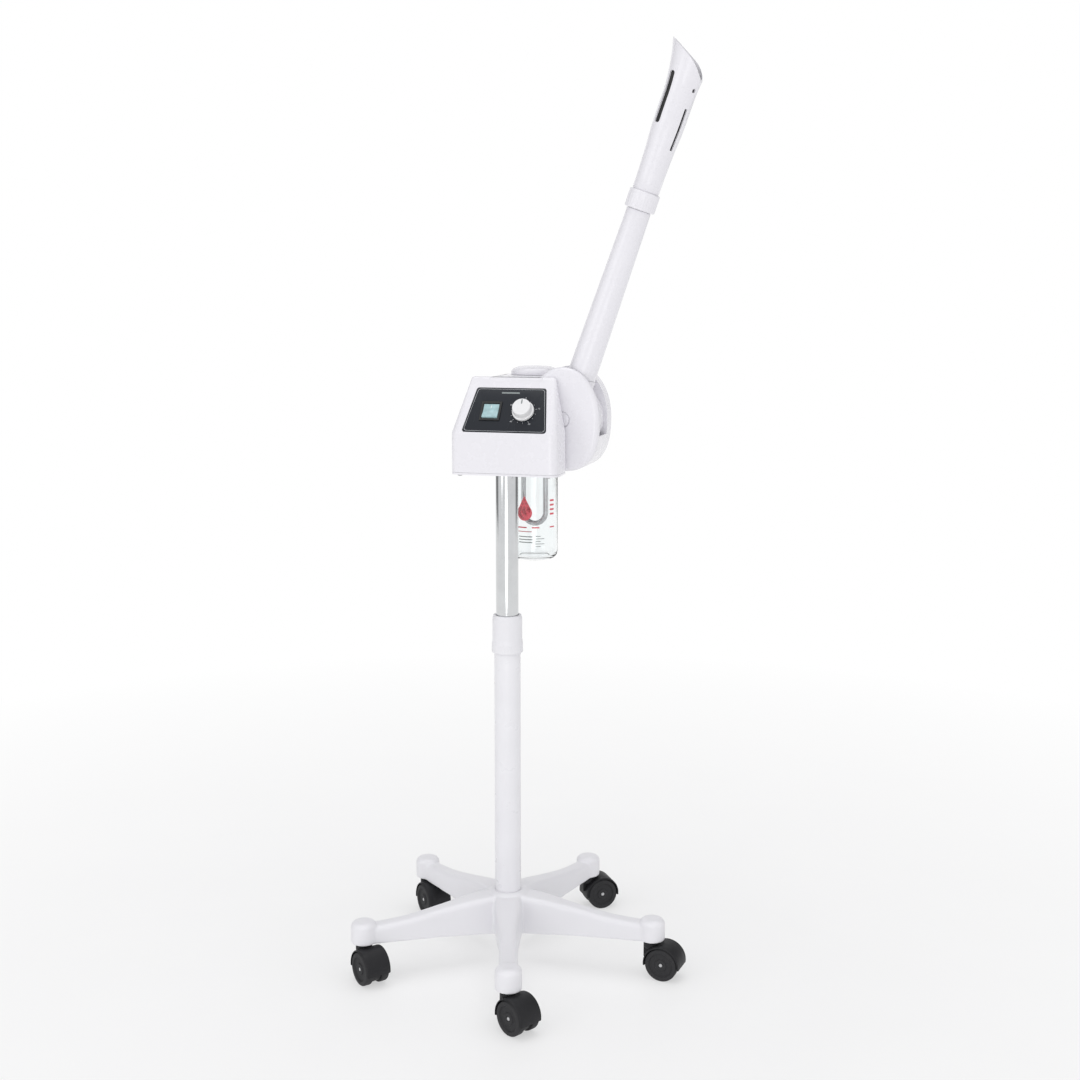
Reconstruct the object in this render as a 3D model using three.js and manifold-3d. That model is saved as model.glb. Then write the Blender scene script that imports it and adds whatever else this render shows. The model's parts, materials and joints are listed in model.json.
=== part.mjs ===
// Facial steamer on a five-legged caster base.
// Millimetres, +Z up; -Y is the front, +X the arm's side. Everything is drawn with the column's axis at
// X 0 and Y 0, and the last lines move it so that the origin is on the floor under the middle of the whole.
import * as THREE from "three";
import { mergeVertices } from "three/addons/utils/BufferGeometryUtils.js";
import Module from "manifold-3d";

const wasm = await Module();
wasm.setup();

// ---------------------------------------------------------------- driving dimensions

const GAP = 0.3; // clearance between pieces that touch
const WALL = 3; // moulded shells

const COLUMN_X = -36.5; // the column's axis, seen from the origin of the finished part
const COLUMN_Y = 0.5;

const LEG_COUNT = 5;
const FIRST_LEG_DEG = -73;
const STEM_RADIUS_FROM_AXIS = 229; // column axis to caster stem
const HUB_UNDER_Z = 48;
const HUB_TOP_Z = 108;
const BOSS_RADIUS = 19.5;
const BOSS_UNDER_Z = 56.4;
const BOSS_TOP_Z = 90;
const LEG_TAPER_X = [45, 120]; // where a leg's sides start and stop drawing in
const LEG_HALF_WIDTHS = [20, 14]; // at those two places
const STEM_RADIUS = 5.2;
const STEM_TOP_Z = 84;

const WHEEL_RADIUS = 25;
const CASTER_TRAIL = 20;
const CASTER_HEADINGS_DEG = [-32, -8, 35, -45, -40]; // where each caster trails at rest
const WEB_HALF = 7; // half thickness of the hood's middle web
const WHEEL_WIDTH = 12;
const AXLE_RADIUS = 3;
const TREAD_POCKET = 1.2; // room round a wheel in its hood

const LOWER_TUBE_RADIUS = 20;
const LOWER_TUBE_BORE = 18.5;
const LOWER_TUBE_TOP_Z = 508;
const SOCKET_FLOOR_Z = 61.7;
const COLLAR_Z = [486, 544];
const INNER_TUBE_RADIUS = 17;
const INNER_TUBE_BORE = 15.5;
const MAST_RISE = 50; // how far the mast and its head are pulled up; all heights from here on are before that
const INNER_TUBE_Z = [275, 745];

const COLLAR_LIP = 5; // height of the collar's inward lip

const HEAD_UNDER_Z = 709;
const TRAY_TOP_Z = HEAD_UNDER_Z + WALL;
const CONSOLE_X = 4;
const CONSOLE_HALF = 82; // half width at the bottom
const CONSOLE_TOP_HALF = 66; // half width just under the top
const CONSOLE_CORNER = 13; // radius of the upright edges
const CONSOLE_SHOULDER_Z = 770; // the sides lean in above here
const CONSOLE_FRONT_Y = -35;
const CONSOLE_BACK_Y = 27.5;
const CONSOLE_TOP_Z = 852;
const SLOPE_START = [CONSOLE_FRONT_Y, 772]; // Y and Z of the sloping face's lower edge
const SLOPE_END = [20, 850];

const PANEL_X = 5;
const PANEL_LENGTH = 77;
const PANEL_HALF_BOTTOM = 65;
const PANEL_HALF_TOP = 53.5;
const PANEL_THICK = 2;
const PANEL_CENTRE_ON_SLOPE = 40; // from the slope's lower edge
const ROCKER_X = -25.5; // from the panel's centre
const KNOB_X = 25;
const CONTROL_Y = -2.5;
const KNOB_RADIUS = 16.5;
const INLET_X = -56;
const INLET_Z = 732;

const BOILER_X = 13;
const BOILER_Y = 105;
const TOWER_RADIUS = 46;
const TOWER_LEFT_X = BOILER_X - TOWER_RADIUS;
const TOWER_RIGHT_X = BOILER_X + TOWER_RADIUS - 8; // right side of the neck that joins it to the console
const CAP_SPIGOT_RADIUS = 29.6;
const CAP_TOP_Z = 865;
const JAR_RADIUS = 36.5;
const JAR_UNDER_Z = 564;
const JAR_RIM_Z = 713.2;
const JAR_WALL = 3;
const NUT_Z = [697.5, 708.6];
const SKIRT_RADII = [38.5, 41];
const SKIRT_UNDER_Z = 700.2;
const HEATER_HALF_WIDTH = 18;
const HEATER_ROD_RADIUS = 4;
const HEATER_BEND_Z = 636;
const CHAMBER_RADIUS = 20;
const CHAMBER_TOP_Z = 838;

const PIVOT = new THREE.Vector3(77, 60, 789); // axis of the arm's tilt, along Y
const ARM_LEAN_DEG = 19.4; // from vertical towards +X
const POD_HALF_WIDTH = 57;
const POD_HALF_HEIGHT = 78;
const POD_Y = [28, 118];
const POD_EDGE = 8; // rounding of the front and rear edges
const POD_SPLIT_Y = 36.3;
const DRUM_RADIUS = 52;
const DRUM_HALF = 23;
const NECK_RADIUS = 22.8;
const NECK_END = 66; // distances along the arm are from the pivot
const ELBOW_RADIUS = 11;
const ELBOW_Y = BOILER_Y - 3;
const CAP_PIN_RADIUS = 5; // the pin of the pivot's cap, which the hub turns on

const ARM_END = 326;
const ARM_BORE = 13.5;
const SPIGOT_RADIUS = 16.5; // upper end of the arm tube, inside the nozzle's ring
const TENON_RADIUS = 18.1; // lower end of the arm tube, inside the hub's neck
const NOZZLE_START = 341.5;
const MOUTH_TILT_DEG = 29.5;
const MOUTH_ON_AXIS = 553;
const MOUTH_ROUNDING = 58; // radius of the curve that the mouth turns down by on its short side
const MOUTH_END_DEG = 70; // its slant where it leaves the nozzle's wall

const ROUND = 24; // facets round a large circle
const SMALL = 16; // facets round a small one

// ---------------------------------------------------------------- materials

const material = (color, roughness, metalness = 0) =>
  new THREE.MeshStandardMaterial({ color, roughness, metalness });

const white = () => material(0xf2f1f5, 0.25);
const blackPlastic = () => material(0x1c1c1e, 0.55);
const steel = () => material(0x9a9a9c, 0.35, 1);
const chrome = () => material(0xd5d7da, 0.12, 1);
const rubber = () => material(0x77777a, 0.8);

// ---------------------------------------------------------------- solids

const radians = THREE.MathUtils.degToRad;

// A closed geometry as a solid that can be joined and cut.
function solid(geometry) {
  const bare = geometry.index ? geometry.toNonIndexed() : geometry.clone();
  bare.deleteAttribute("normal");
  bare.deleteAttribute("uv");
  const merged = mergeVertices(bare, 1e-4);
  const corners = merged.index.array;
  const kept = [];
  for (let i = 0; i < corners.length; i += 3) {
    const [a, b, c] = corners.slice(i, i + 3);
    if (a !== b && b !== c && c !== a) kept.push(a, b, c);
  }
  const vertProperties = merged.attributes.position.array;
  const triVerts = new Uint32Array(kept);
  return new wasm.Manifold(new wasm.Mesh({ numProp: 3, vertProperties, triVerts }));
}

function geometryOf(made) {
  const { vertProperties, triVerts } = made.getMesh();
  const geometry = new THREE.BufferGeometry();
  geometry.setAttribute("position", new THREE.BufferAttribute(vertProperties, 3));
  geometry.setIndex(new THREE.BufferAttribute(triVerts, 1));
  return geometry;
}

const joined = (first, ...others) => others.reduce((sum, other) => sum.add(other), first);
const cut = (first, ...others) => others.reduce((rest, other) => rest.subtract(other), first);

// A profile of [radius, height] points turned about Z, its outline anticlockwise.
function turned(profile, segments = ROUND) {
  const points = profile.map(([radius, height]) => new THREE.Vector2(radius, height));
  const geometry = new THREE.LatheGeometry(points, segments);
  geometry.rotateX(Math.PI / 2);
  return geometry;
}

// The same for a ring or tube, whose outline doesn't meet the axis.
const turnedRing = (profile, segments = ROUND) => turned([...profile, profile[0]], segments);

function tube(outer, inner, bottom, top, segments = ROUND) {
  const profile = [[inner, bottom], [outer, bottom], [outer, top], [inner, top]];
  return turnedRing(profile, segments);
}

function rod(radius, bottom, top, segments = SMALL) {
  return turned([[0, bottom], [radius, bottom], [radius, top], [0, top]], segments);
}

// Turns a piece made along Z so that it lies along Y, top end towards +Y.
const alongY = (geometry) => geometry.rotateX(-Math.PI / 2);

function box(x, y, z) {
  const geometry = new THREE.BoxGeometry(x[1] - x[0], y[1] - y[0], z[1] - z[0]);
  return geometry.translate((x[0] + x[1]) / 2, (y[0] + y[1]) / 2, (z[0] + z[1]) / 2);
}

// A flat outline in X and Y, raised from bottom to top.
function plate(outline, bottom, top, curveSegments = 6) {
  const depth = top - bottom;
  const geometry = new THREE.ExtrudeGeometry(outline, { depth, bevelEnabled: false, curveSegments });
  return geometry.translate(0, 0, bottom);
}

// An outline in X and Z, standing between two values of Y.
function upright(outline, front, back, bevel = 0) {
  const geometry = new THREE.ExtrudeGeometry(outline, {
    depth: back - front - 2 * bevel,
    bevelEnabled: bevel > 0,
    bevelThickness: bevel,
    bevelSize: bevel,
    bevelOffset: -bevel,
    bevelSegments: 2,
    curveSegments: 6,
  });
  return geometry.rotateX(Math.PI / 2).translate(0, back - bevel, 0);
}

// An outline in Y and Z, spanning two values of X.
function spanning(outline, left, right) {
  const depth = right - left;
  const geometry = new THREE.ExtrudeGeometry(outline, { depth, bevelEnabled: false, curveSegments: 6 });
  return geometry.rotateX(Math.PI / 2).rotateZ(Math.PI / 2).translate(left, 0, 0);
}

function polygon(points) {
  return new THREE.Shape(points.map(([x, y]) => new THREE.Vector2(x, y)));
}

function roundedRectangle(left, right, low, high, radius) {
  const shape = new THREE.Shape();
  shape.moveTo(left + radius, low);
  shape.lineTo(right - radius, low);
  shape.absarc(right - radius, low + radius, radius, -Math.PI / 2, 0);
  shape.lineTo(right, high - radius);
  shape.absarc(right - radius, high - radius, radius, 0, Math.PI / 2);
  shape.lineTo(left + radius, high);
  shape.absarc(left + radius, high - radius, radius, Math.PI / 2, Math.PI);
  shape.lineTo(left, low + radius);
  shape.absarc(left + radius, low + radius, radius, Math.PI, 1.5 * Math.PI);
  return shape;
}

function pipeAlong(curve, outer, inner, steps, sides = 6) {
  const section = new THREE.Shape().absarc(0, 0, outer, 0, 2 * Math.PI);
  if (inner > 0) section.holes.push(new THREE.Path().absarc(0, 0, inner, 0, 2 * Math.PI, true));
  return new THREE.ExtrudeGeometry(section, { steps, extrudePath: curve, curveSegments: sides });
}

// ---------------------------------------------------------------- scene graph

const steamer = new THREE.Group();

function add(parent, name, shape, look) {
  const geometry = shape.isBufferGeometry ? shape : geometryOf(shape);
  const mesh = new THREE.Mesh(geometry, look);
  mesh.name = name;
  parent.add(mesh);
  return mesh;
}

// ---------------------------------------------------------------- star base

const legAngle = (index) => radians(FIRST_LEG_DEG + (360 / LEG_COUNT) * index);

// One leg along +X, thick at the hub and slim before its boss.
function legBody() {
  const tip = STEM_RADIUS_FROM_AXIS;
  const side = polygon([
    [0, HUB_UNDER_Z], [40, HUB_UNDER_Z], [tip, BOSS_UNDER_Z],
    [tip, 82], [165, 86], [105, 96], [56, 104], [20, HUB_TOP_Z - 1], [0, HUB_TOP_Z - 1],
  ]);
  const [near, far] = LEG_TAPER_X;
  const [wide, slim] = LEG_HALF_WIDTHS;
  const plan = polygon([
    [0, -wide - 2], [near, -wide], [far, -slim], [tip, -slim],
    [tip, slim], [far, slim], [near, wide], [0, wide + 2],
  ]);
  return solid(upright(side, -25, 25)).intersect(solid(plate(plan, 0, 120)));
}

// Half the leg's width at a distance from the column.
function legHalfWidth(x) {
  const [near, far] = LEG_TAPER_X;
  const [wide, slim] = LEG_HALF_WIDTHS;
  return THREE.MathUtils.mapLinear(Math.min(x, far), near, far, wide, slim);
}

// The hollow under the leg, in two bays with a rib between them.
function legHollow() {
  const bays = [[44, 118], [121, 203]];
  const roof = polygon([[44, 40], [203, 40], [203, 79], [165, 82], [105, 92], [44, 101]]);
  const height = solid(upright(roof, -25, 25));
  return bays.map(([near, far]) => {
    const [wide, slim] = [near, far].map((x) => legHalfWidth(x) - WALL);
    const plan = polygon([[near, -wide], [far, -slim], [far, slim], [near, wide]]);
    return solid(plate(plan, 0, 120)).intersect(height);
  });
}

function starBase() {
  const hubProfile = [
    [0, HUB_UNDER_Z], [38, HUB_UNDER_Z], [38, 92], [35, 101],
    [29, HUB_TOP_Z], [25, HUB_TOP_Z + 2], [0, HUB_TOP_Z + 2],
  ];
  const bossProfile = [
    [0, BOSS_UNDER_Z], [BOSS_RADIUS - 1, BOSS_UNDER_Z], [BOSS_RADIUS, BOSS_UNDER_Z + 2],
    [BOSS_RADIUS, BOSS_TOP_Z - 7], [BOSS_RADIUS - 3, BOSS_TOP_Z - 2],
    [BOSS_RADIUS - 8, BOSS_TOP_Z], [0, BOSS_TOP_Z],
  ];
  let base = solid(turned(hubProfile));
  for (let i = 0; i < LEG_COUNT; i += 1) {
    const turn = [0, 0, THREE.MathUtils.radToDeg(legAngle(i))];
    const atStem = (geometry) => solid(geometry.translate(STEM_RADIUS_FROM_AXIS, 0, 0));
    const boss = atStem(turned(bossProfile, SMALL));
    const stemHole = atStem(rod(STEM_RADIUS + GAP, 40, STEM_TOP_Z + 0.5));
    const flangeRoom = atStem(rod(BOSS_RADIUS, 40, BOSS_UNDER_Z));
    const leg = cut(joined(legBody(), boss), ...legHollow(), stemHole, flangeRoom);
    base = base.add(leg.rotate(turn));
  }
  return base.subtract(solid(rod(LOWER_TUBE_RADIUS + GAP, SOCKET_FLOOR_Z, 130, ROUND)));
}

add(steamer, "star_base", starBase(), white());

// ---------------------------------------------------------------- casters

// In a caster's own frame the stem is at X 0 and the wheels trail towards +X.
function casterStem() {
  const low = 34.3;
  const pin = STEM_RADIUS - 0.2;
  const flange = 8.5;
  return turned([
    [0, low], [pin, low], [pin, 54], [flange, 54], [flange, 56],
    [STEM_RADIUS, 56], [STEM_RADIUS, STEM_TOP_Z], [0, STEM_TOP_Z],
  ], 12);
}

function casterHood() {
  const half = WEB_HALF + GAP + WHEEL_WIDTH + 0.7;
  const rim = WHEEL_RADIUS + 3.5;
  const axleAt = (geometry) => alongY(geometry).translate(CASTER_TRAIL, 0, WHEEL_RADIUS);
  const upperHalf = solid(box([-20, 60], [-30, 30], [21, 60]));
  const fender = solid(axleAt(rod(rim, -half, half, 20))).intersect(upperHalf);
  const pocket = (from, to) => solid(axleAt(rod(WHEEL_RADIUS + TREAD_POCKET, from, to, 20)));
  const web = solid(axleAt(rod(22, -WEB_HALF, WEB_HALF, 20)));
  const shoulder = solid(box([-11, CASTER_TRAIL], [-WEB_HALF, WEB_HALF], [30, 53.4]));
  const stemBoss = solid(rod(12.5, 44, 53.4));
  const full = joined(fender, web, shoulder, stemBoss);
  return cut(
    full,
    pocket(WEB_HALF, half + 5),
    pocket(-half - 5, -WEB_HALF),
    solid(rod(STEM_RADIUS - 0.2 + GAP, 34, 60)),
    solid(axleAt(rod(AXLE_RADIUS + GAP, -30, 30, 12))),
  );
}

// A wheel on the +Y side of the web, its dished face outwards.
function casterWheel() {
  const inner = WEB_HALF + GAP;
  const outer = inner + WHEEL_WIDTH;
  const bore = AXLE_RADIUS + GAP;
  return turnedRing([
    [bore, inner], [WHEEL_RADIUS, inner], [WHEEL_RADIUS, outer],
    [18, outer], [17, outer - 2], [bore, outer - 2],
  ], 20);
}

for (let i = 0; i < LEG_COUNT; i += 1) {
  const number = i + 1;
  const caster = new THREE.Group();
  const reach = STEM_RADIUS_FROM_AXIS;
  caster.position.set(reach * Math.cos(legAngle(i)), reach * Math.sin(legAngle(i)), 0);
  caster.rotation.z = radians(CASTER_HEADINGS_DEG[i]);
  steamer.add(caster);
  add(caster, `caster_stem_${number}`, casterStem(), steel());
  add(caster, `caster_hood_${number}`, casterHood(), blackPlastic());
  const axleHalf = WEB_HALF + GAP + WHEEL_WIDTH - 0.8;
  const axleRod = alongY(rod(AXLE_RADIUS, -axleHalf, axleHalf, 12));
  const axle = add(caster, `caster_axle_${number}`, axleRod, steel());
  axle.position.set(CASTER_TRAIL, 0, WHEEL_RADIUS);
  const left = add(caster, `caster_wheel_left_${number}`, alongY(casterWheel()), blackPlastic());
  left.position.copy(axle.position);
  const right = add(caster, `caster_wheel_right_${number}`, alongY(casterWheel()), blackPlastic());
  right.position.copy(axle.position);
  right.rotation.z = Math.PI;
}

// ---------------------------------------------------------------- column

const lowerTube = tube(LOWER_TUBE_RADIUS, LOWER_TUBE_BORE, SOCKET_FLOOR_Z + GAP, LOWER_TUBE_TOP_Z);
add(steamer, "lower_tube", lowerTube, white());

const collarBore = LOWER_TUBE_RADIUS + 0.7;
const collarLip = INNER_TUBE_RADIUS + 0.6;
const [collarLow, collarHigh] = COLLAR_Z;
add(steamer, "height_collar", turnedRing([
  [collarBore, collarLow], [22.9, collarLow], [23.7, collarLow + 1.5], [23.7, collarLow + 14],
  [22.6, collarLow + 21], [22.6, collarHigh - COLLAR_LIP], [21.2, collarHigh], [collarLip, collarHigh],
  [collarLip, collarHigh - COLLAR_LIP], [collarBore, collarHigh - COLLAR_LIP],
]), white());

const bushLow = LOWER_TUBE_TOP_Z + GAP;
const bushTop = collarHigh - COLLAR_LIP - GAP;
const bushRing = solid(tube(LOWER_TUBE_RADIUS + 0.4, INNER_TUBE_RADIUS + GAP, bushLow, bushTop));
const bushSlit = solid(box([-1.2, 1.2], [10, 30], [bushLow - 1, bushTop + 1]));
add(steamer, "clamp_bush", cut(bushRing, bushSlit), blackPlastic());

// ---------------------------------------------------------------- mast

const mast = new THREE.Group(); // the inner tube and the whole head, which slide up together
mast.position.z = MAST_RISE;
steamer.add(mast);

const [innerLow, innerHigh] = INNER_TUBE_Z;
add(mast, "inner_tube", tube(INNER_TUBE_RADIUS, INNER_TUBE_BORE, innerLow, innerHigh), chrome());

// A plug in the inner tube's lower end, its wider foot running in the lower tube.
const guideFoot = LOWER_TUBE_BORE - GAP;
const guidePlug = INNER_TUBE_BORE - GAP;
add(mast, "tube_guide", turned([
  [0, innerLow - 13], [guideFoot, innerLow - 13], [guideFoot, innerLow - GAP],
  [guidePlug, innerLow - GAP], [guidePlug, innerLow + 25], [0, innerLow + 25],
]), blackPlastic());

// A flanged cup upside down on the inner tube's upper end.
const socketBore = INNER_TUBE_RADIUS + GAP;
const socketLow = TRAY_TOP_Z + GAP;
add(mast, "head_socket", turned([
  [socketBore, socketLow], [24, socketLow], [24, TRAY_TOP_Z + 4], [21, TRAY_TOP_Z + 4],
  [21, innerHigh + 4], [0, innerHigh + 4], [0, innerHigh + GAP], [socketBore, innerHigh + GAP],
  [socketBore, socketLow],
]), material(0xb4b6b8, 0.4, 1));

// ---------------------------------------------------------------- pod outline

// The arm's housing seen from the front: an oval, fuller in its lower half.
function podOutline(inset) {
  const points = [];
  const steps = 32;
  for (let i = 0; i < steps; i += 1) {
    const angle = (2 * Math.PI * i) / steps;
    const power = 2 / (Math.sin(angle) < 0 ? 2.6 : 2.05);
    const x = Math.sign(Math.cos(angle)) * Math.abs(Math.cos(angle)) ** power;
    const z = Math.sign(Math.sin(angle)) * Math.abs(Math.sin(angle)) ** power;
    points.push([PIVOT.x + (POD_HALF_WIDTH - inset) * x, PIVOT.z + (POD_HALF_HEIGHT - inset) * z]);
  }
  return polygon(points);
}

// ---------------------------------------------------------------- housing

const slopeAngle = Math.atan2(SLOPE_END[1] - SLOPE_START[1], SLOPE_END[0] - SLOPE_START[0]);

// The console's outer form, or its hollow when inset by the wall.
function consoleForm(inset, bottom) {
  const lift = inset * Math.tan(slopeAngle / 2);
  const side = polygon([
    [CONSOLE_FRONT_Y + inset, bottom],
    [CONSOLE_BACK_Y - inset, bottom],
    [CONSOLE_BACK_Y - inset, CONSOLE_TOP_Z - inset],
    [SLOPE_END[0] + 4, CONSOLE_TOP_Z - inset],
    [SLOPE_END[0] + inset * Math.sin(slopeAngle), SLOPE_END[1] - inset * Math.cos(slopeAngle)],
    [SLOPE_START[0] + inset, SLOPE_START[1] - lift],
  ]);
  const half = CONSOLE_HALF - inset;
  const topHalf = CONSOLE_TOP_HALF - inset;
  const front = polygon([
    [-half, bottom], [half, bottom], [half, CONSOLE_SHOULDER_Z],
    [topHalf, CONSOLE_TOP_Z - 3], [topHalf - 4, CONSOLE_TOP_Z + 5],
    [-topHalf + 4, CONSOLE_TOP_Z + 5], [-topHalf, CONSOLE_TOP_Z - 3], [-half, CONSOLE_SHOULDER_Z],
  ]);
  const plan = roundedRectangle(
    -half, half, CONSOLE_FRONT_Y + inset, CONSOLE_BACK_Y - inset, CONSOLE_CORNER - inset,
  );
  return solid(spanning(side, -CONSOLE_HALF, CONSOLE_HALF))
    .intersect(solid(upright(front, CONSOLE_FRONT_Y - 5, CONSOLE_BACK_Y + 5)))
    .intersect(solid(plate(plan, bottom, CONSOLE_TOP_Z + 5)))
    .translate([CONSOLE_X, 0, 0]);
}

// The boiler tower with the straight neck that joins it to the console.
function towerForm(inset, bottom, front) {
  const radius = TOWER_RADIUS - inset;
  const top = CONSOLE_TOP_Z - inset;
  const column = solid(turned([
    [0, bottom], [radius, bottom], [radius, top - 5], [radius - 5, top], [0, top],
  ]).translate(BOILER_X, BOILER_Y, 0));
  const neck = box([TOWER_LEFT_X + inset, TOWER_RIGHT_X - inset], [front, BOILER_Y], [bottom, top]);
  return column.add(solid(neck));
}

// In front of here the tower's wall gives way to the arm housing.
const drumBackY = PIVOT.y + DRUM_HALF + 1;
const podClearance = solid(upright(podOutline(-GAP), CONSOLE_BACK_Y, drumBackY + GAP));

const panelFrame = new THREE.Group();
panelFrame.position.set(
  PANEL_X,
  SLOPE_START[0] + PANEL_CENTRE_ON_SLOPE * Math.cos(slopeAngle),
  SLOPE_START[1] + PANEL_CENTRE_ON_SLOPE * Math.sin(slopeAngle),
);
panelFrame.rotation.x = slopeAngle;
mast.add(panelFrame);
panelFrame.updateMatrix();

// Puts a cutter, drawn on the sloping face, in the mast's frame.
const onSlope = (geometry) => solid(geometry.applyMatrix4(panelFrame.matrix));

// The panel's outline: a trapezoid with round corners, grown by a margin.
function panelOutline(margin) {
  const half = PANEL_LENGTH / 2;
  const taper = (PANEL_HALF_BOTTOM - PANEL_HALF_TOP) / PANEL_LENGTH;
  const corners = [
    [-PANEL_HALF_BOTTOM, -half], [PANEL_HALF_BOTTOM, -half],
    [PANEL_HALF_TOP, half], [-PANEL_HALF_TOP, half],
  ];
  const shape = new THREE.Shape();
  const round = 6;
  corners.forEach(([x, y], i) => {
    const side = Math.sign(x);
    const grownX = x + side * margin;
    const grownY = y + Math.sign(y) * margin;
    const level = [grownX - side * round, grownY];
    const slanted = [grownX + side * Math.sign(y) * taper * round, grownY - Math.sign(y) * round];
    const [from, to] = i % 2 === 0 ? [slanted, level] : [level, slanted];
    if (i === 0) shape.moveTo(...from);
    else shape.lineTo(...from);
    shape.quadraticCurveTo(grownX, grownY, ...to);
  });
  return shape;
}

// Screw posts, which grow out of the cover's walls.
const screwPlaces = [[-64, -29.5], [72, -29.5], [-37, 22], [72, 22], [-27.5, 62]];
const SCREW_HOLE_RADIUS = 2 + GAP;
const onBoilerAxis = (geometry) => solid(geometry.translate(BOILER_X, BOILER_Y, 0));

function housingCover() {
  const bottom = TRAY_TOP_Z + GAP;
  const outer = consoleForm(0, bottom).add(towerForm(0, bottom, CONSOLE_BACK_Y - 10));
  const inner = consoleForm(WALL, bottom - 5).add(towerForm(WALL, bottom - 5, 10));
  const backing = onSlope(box([-76, 76], [-45, 44], [-6.5, 5])).intersect(outer);
  let cover = cut(outer, inner).add(backing);
  for (const [x, y] of screwPlaces) {
    cover = cover.add(solid(rod(4.5, bottom, bottom + 22).translate(x, y, 0)).intersect(outer));
  }
  for (const [x, y] of screwPlaces) {
    cover = cover.subtract(solid(rod(SCREW_HOLE_RADIUS, bottom - 1, bottom + 14, 12).translate(x, y, 0)));
  }
  const capOpening = rod(CAP_SPIGOT_RADIUS + 0.6, CONSOLE_TOP_Z - 8, CONSOLE_TOP_Z + 8, ROUND);
  const elbowOpening = alongY(rod(ELBOW_RADIUS + 1, 0, 30)).rotateZ(-Math.PI / 2);
  const inletOpening = box(
    [INLET_X - 14, INLET_X + 14],
    [CONSOLE_BACK_Y - 8, CONSOLE_BACK_Y + 8],
    [INLET_Z - 10, INLET_Z + 10],
  );
  return cut(
    cover,
    podClearance,
    onSlope(plate(panelOutline(GAP), -PANEL_THICK - GAP, 5)),
    onSlope(box([ROCKER_X - 14, ROCKER_X + 14], [CONTROL_Y - 14.5, CONTROL_Y + 14.5], [-20, 5])),
    onSlope(rod(7, -20, 5).translate(KNOB_X, CONTROL_Y, 0)),
    onBoilerAxis(capOpening),
    solid(elbowOpening.translate(BOILER_X + 36, ELBOW_Y, PIVOT.z)),
    solid(inletOpening),
  );
}

add(mast, "housing_cover", housingCover(), white());

function housingBase() {
  const left = CONSOLE_X - CONSOLE_HALF;
  const right = CONSOLE_X + CONSOLE_HALF;
  const plan = roundedRectangle(left, right, CONSOLE_FRONT_Y, CONSOLE_BACK_Y, CONSOLE_CORNER);
  const height = [HEAD_UNDER_Z, TRAY_TOP_Z];
  const tray = joined(
    solid(plate(plan, ...height)),
    onBoilerAxis(rod(TOWER_RADIUS, ...height, ROUND)),
    solid(box([TOWER_LEFT_X, TOWER_RIGHT_X], [CONSOLE_BACK_Y - 10, BOILER_Y], height)),
  );
  const through = [HEAD_UNDER_Z - 9, TRAY_TOP_Z + 8];
  const screwHole = ([x, y]) => solid(rod(SCREW_HOLE_RADIUS, ...through, 12).translate(x, y, 0));
  return cut(
    tray,
    podClearance,
    solid(rod(INNER_TUBE_RADIUS + 1, ...through, ROUND)),
    onBoilerAxis(rod(SKIRT_RADII[1] + GAP, ...through, ROUND)),
    ...screwPlaces.map(screwHole),
  );
}

add(mast, "housing_base", housingBase(), white());

const capLow = CONSOLE_TOP_Z + GAP;
const towerCap = turnedRing([
  [26, capLow - 6], [CAP_SPIGOT_RADIUS, capLow - 6], [CAP_SPIGOT_RADIUS, capLow], [36, capLow],
  [36, capLow + 5], [33, capLow + 9], [25, CAP_TOP_Z - 0.8], [14, CAP_TOP_Z],
  [3, CAP_TOP_Z], [3, CAP_TOP_Z - 3], [14, CAP_TOP_Z - 3], [26, CAP_TOP_Z - 5],
]);
add(mast, "tower_cap", towerCap.translate(BOILER_X, BOILER_Y, 0), white());

// ---------------------------------------------------------------- controls on the sloping face

const panelHoles = [
  solid(box([ROCKER_X - 13.8, ROCKER_X + 13.8], [CONTROL_Y - 14.3, CONTROL_Y + 14.3], [-5, 5])),
  solid(rod(5, -5, 5).translate(KNOB_X, CONTROL_Y, 0)),
];
const panelPlate = solid(plate(panelOutline(0), -PANEL_THICK, 0, 3));
add(panelFrame, "control_panel", cut(panelPlate, ...panelHoles), material(0x151517, 0.2));

const switchBody = cut(
  joined(
    solid(box([-13.5, 13.5], [-14, 14], [-24, 1])),
    solid(box([-15.5, 15.5], [-16, 16], [GAP, 1.8])),
  ),
  solid(box([-12.4, 12.4], [-13, 13], [-9, 5])),
);
const switchMesh = add(panelFrame, "rocker_switch_body", switchBody, blackPlastic());
switchMesh.position.set(ROCKER_X, CONTROL_Y, 0);

// The rocker's cap, seen from its side: shallow V on top, round underneath.
const ROCKER_TILT_DEG = 7;
const ROCKER_PIVOT_DEPTH = 2;
const rockerSide = polygon([[-12, -1], [-6, -5], [6, -5], [12, -1], [12, 4.4], [0, 3.2], [-12, 4.4]]);
const rocker = add(panelFrame, "power_rocker", spanning(rockerSide, -11.9, 11.9), material(0x8fd3cf, 0.15));
rocker.position.set(ROCKER_X, CONTROL_Y, -ROCKER_PIVOT_DEPTH);
rocker.rotation.x = radians(-ROCKER_TILT_DEG);

const TIMER_SHAFT_RADIUS = 3;
const knobBody = cut(
  joined(
    solid(turned([
      [0, 1], [KNOB_RADIUS, 1], [KNOB_RADIUS, 5], [14.5, 6], [13.8, 15.5], [12.6, 16.5], [0, 16.5],
    ])),
    solid(box([-1.2, 1.2], [4, 14], [14, 17.4])),
  ),
  solid(rod(TIMER_SHAFT_RADIUS + GAP, -1, 12)),
);
const knob = add(panelFrame, "timer_knob", knobBody, white());
knob.position.set(KNOB_X, CONTROL_Y, 0);

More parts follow.
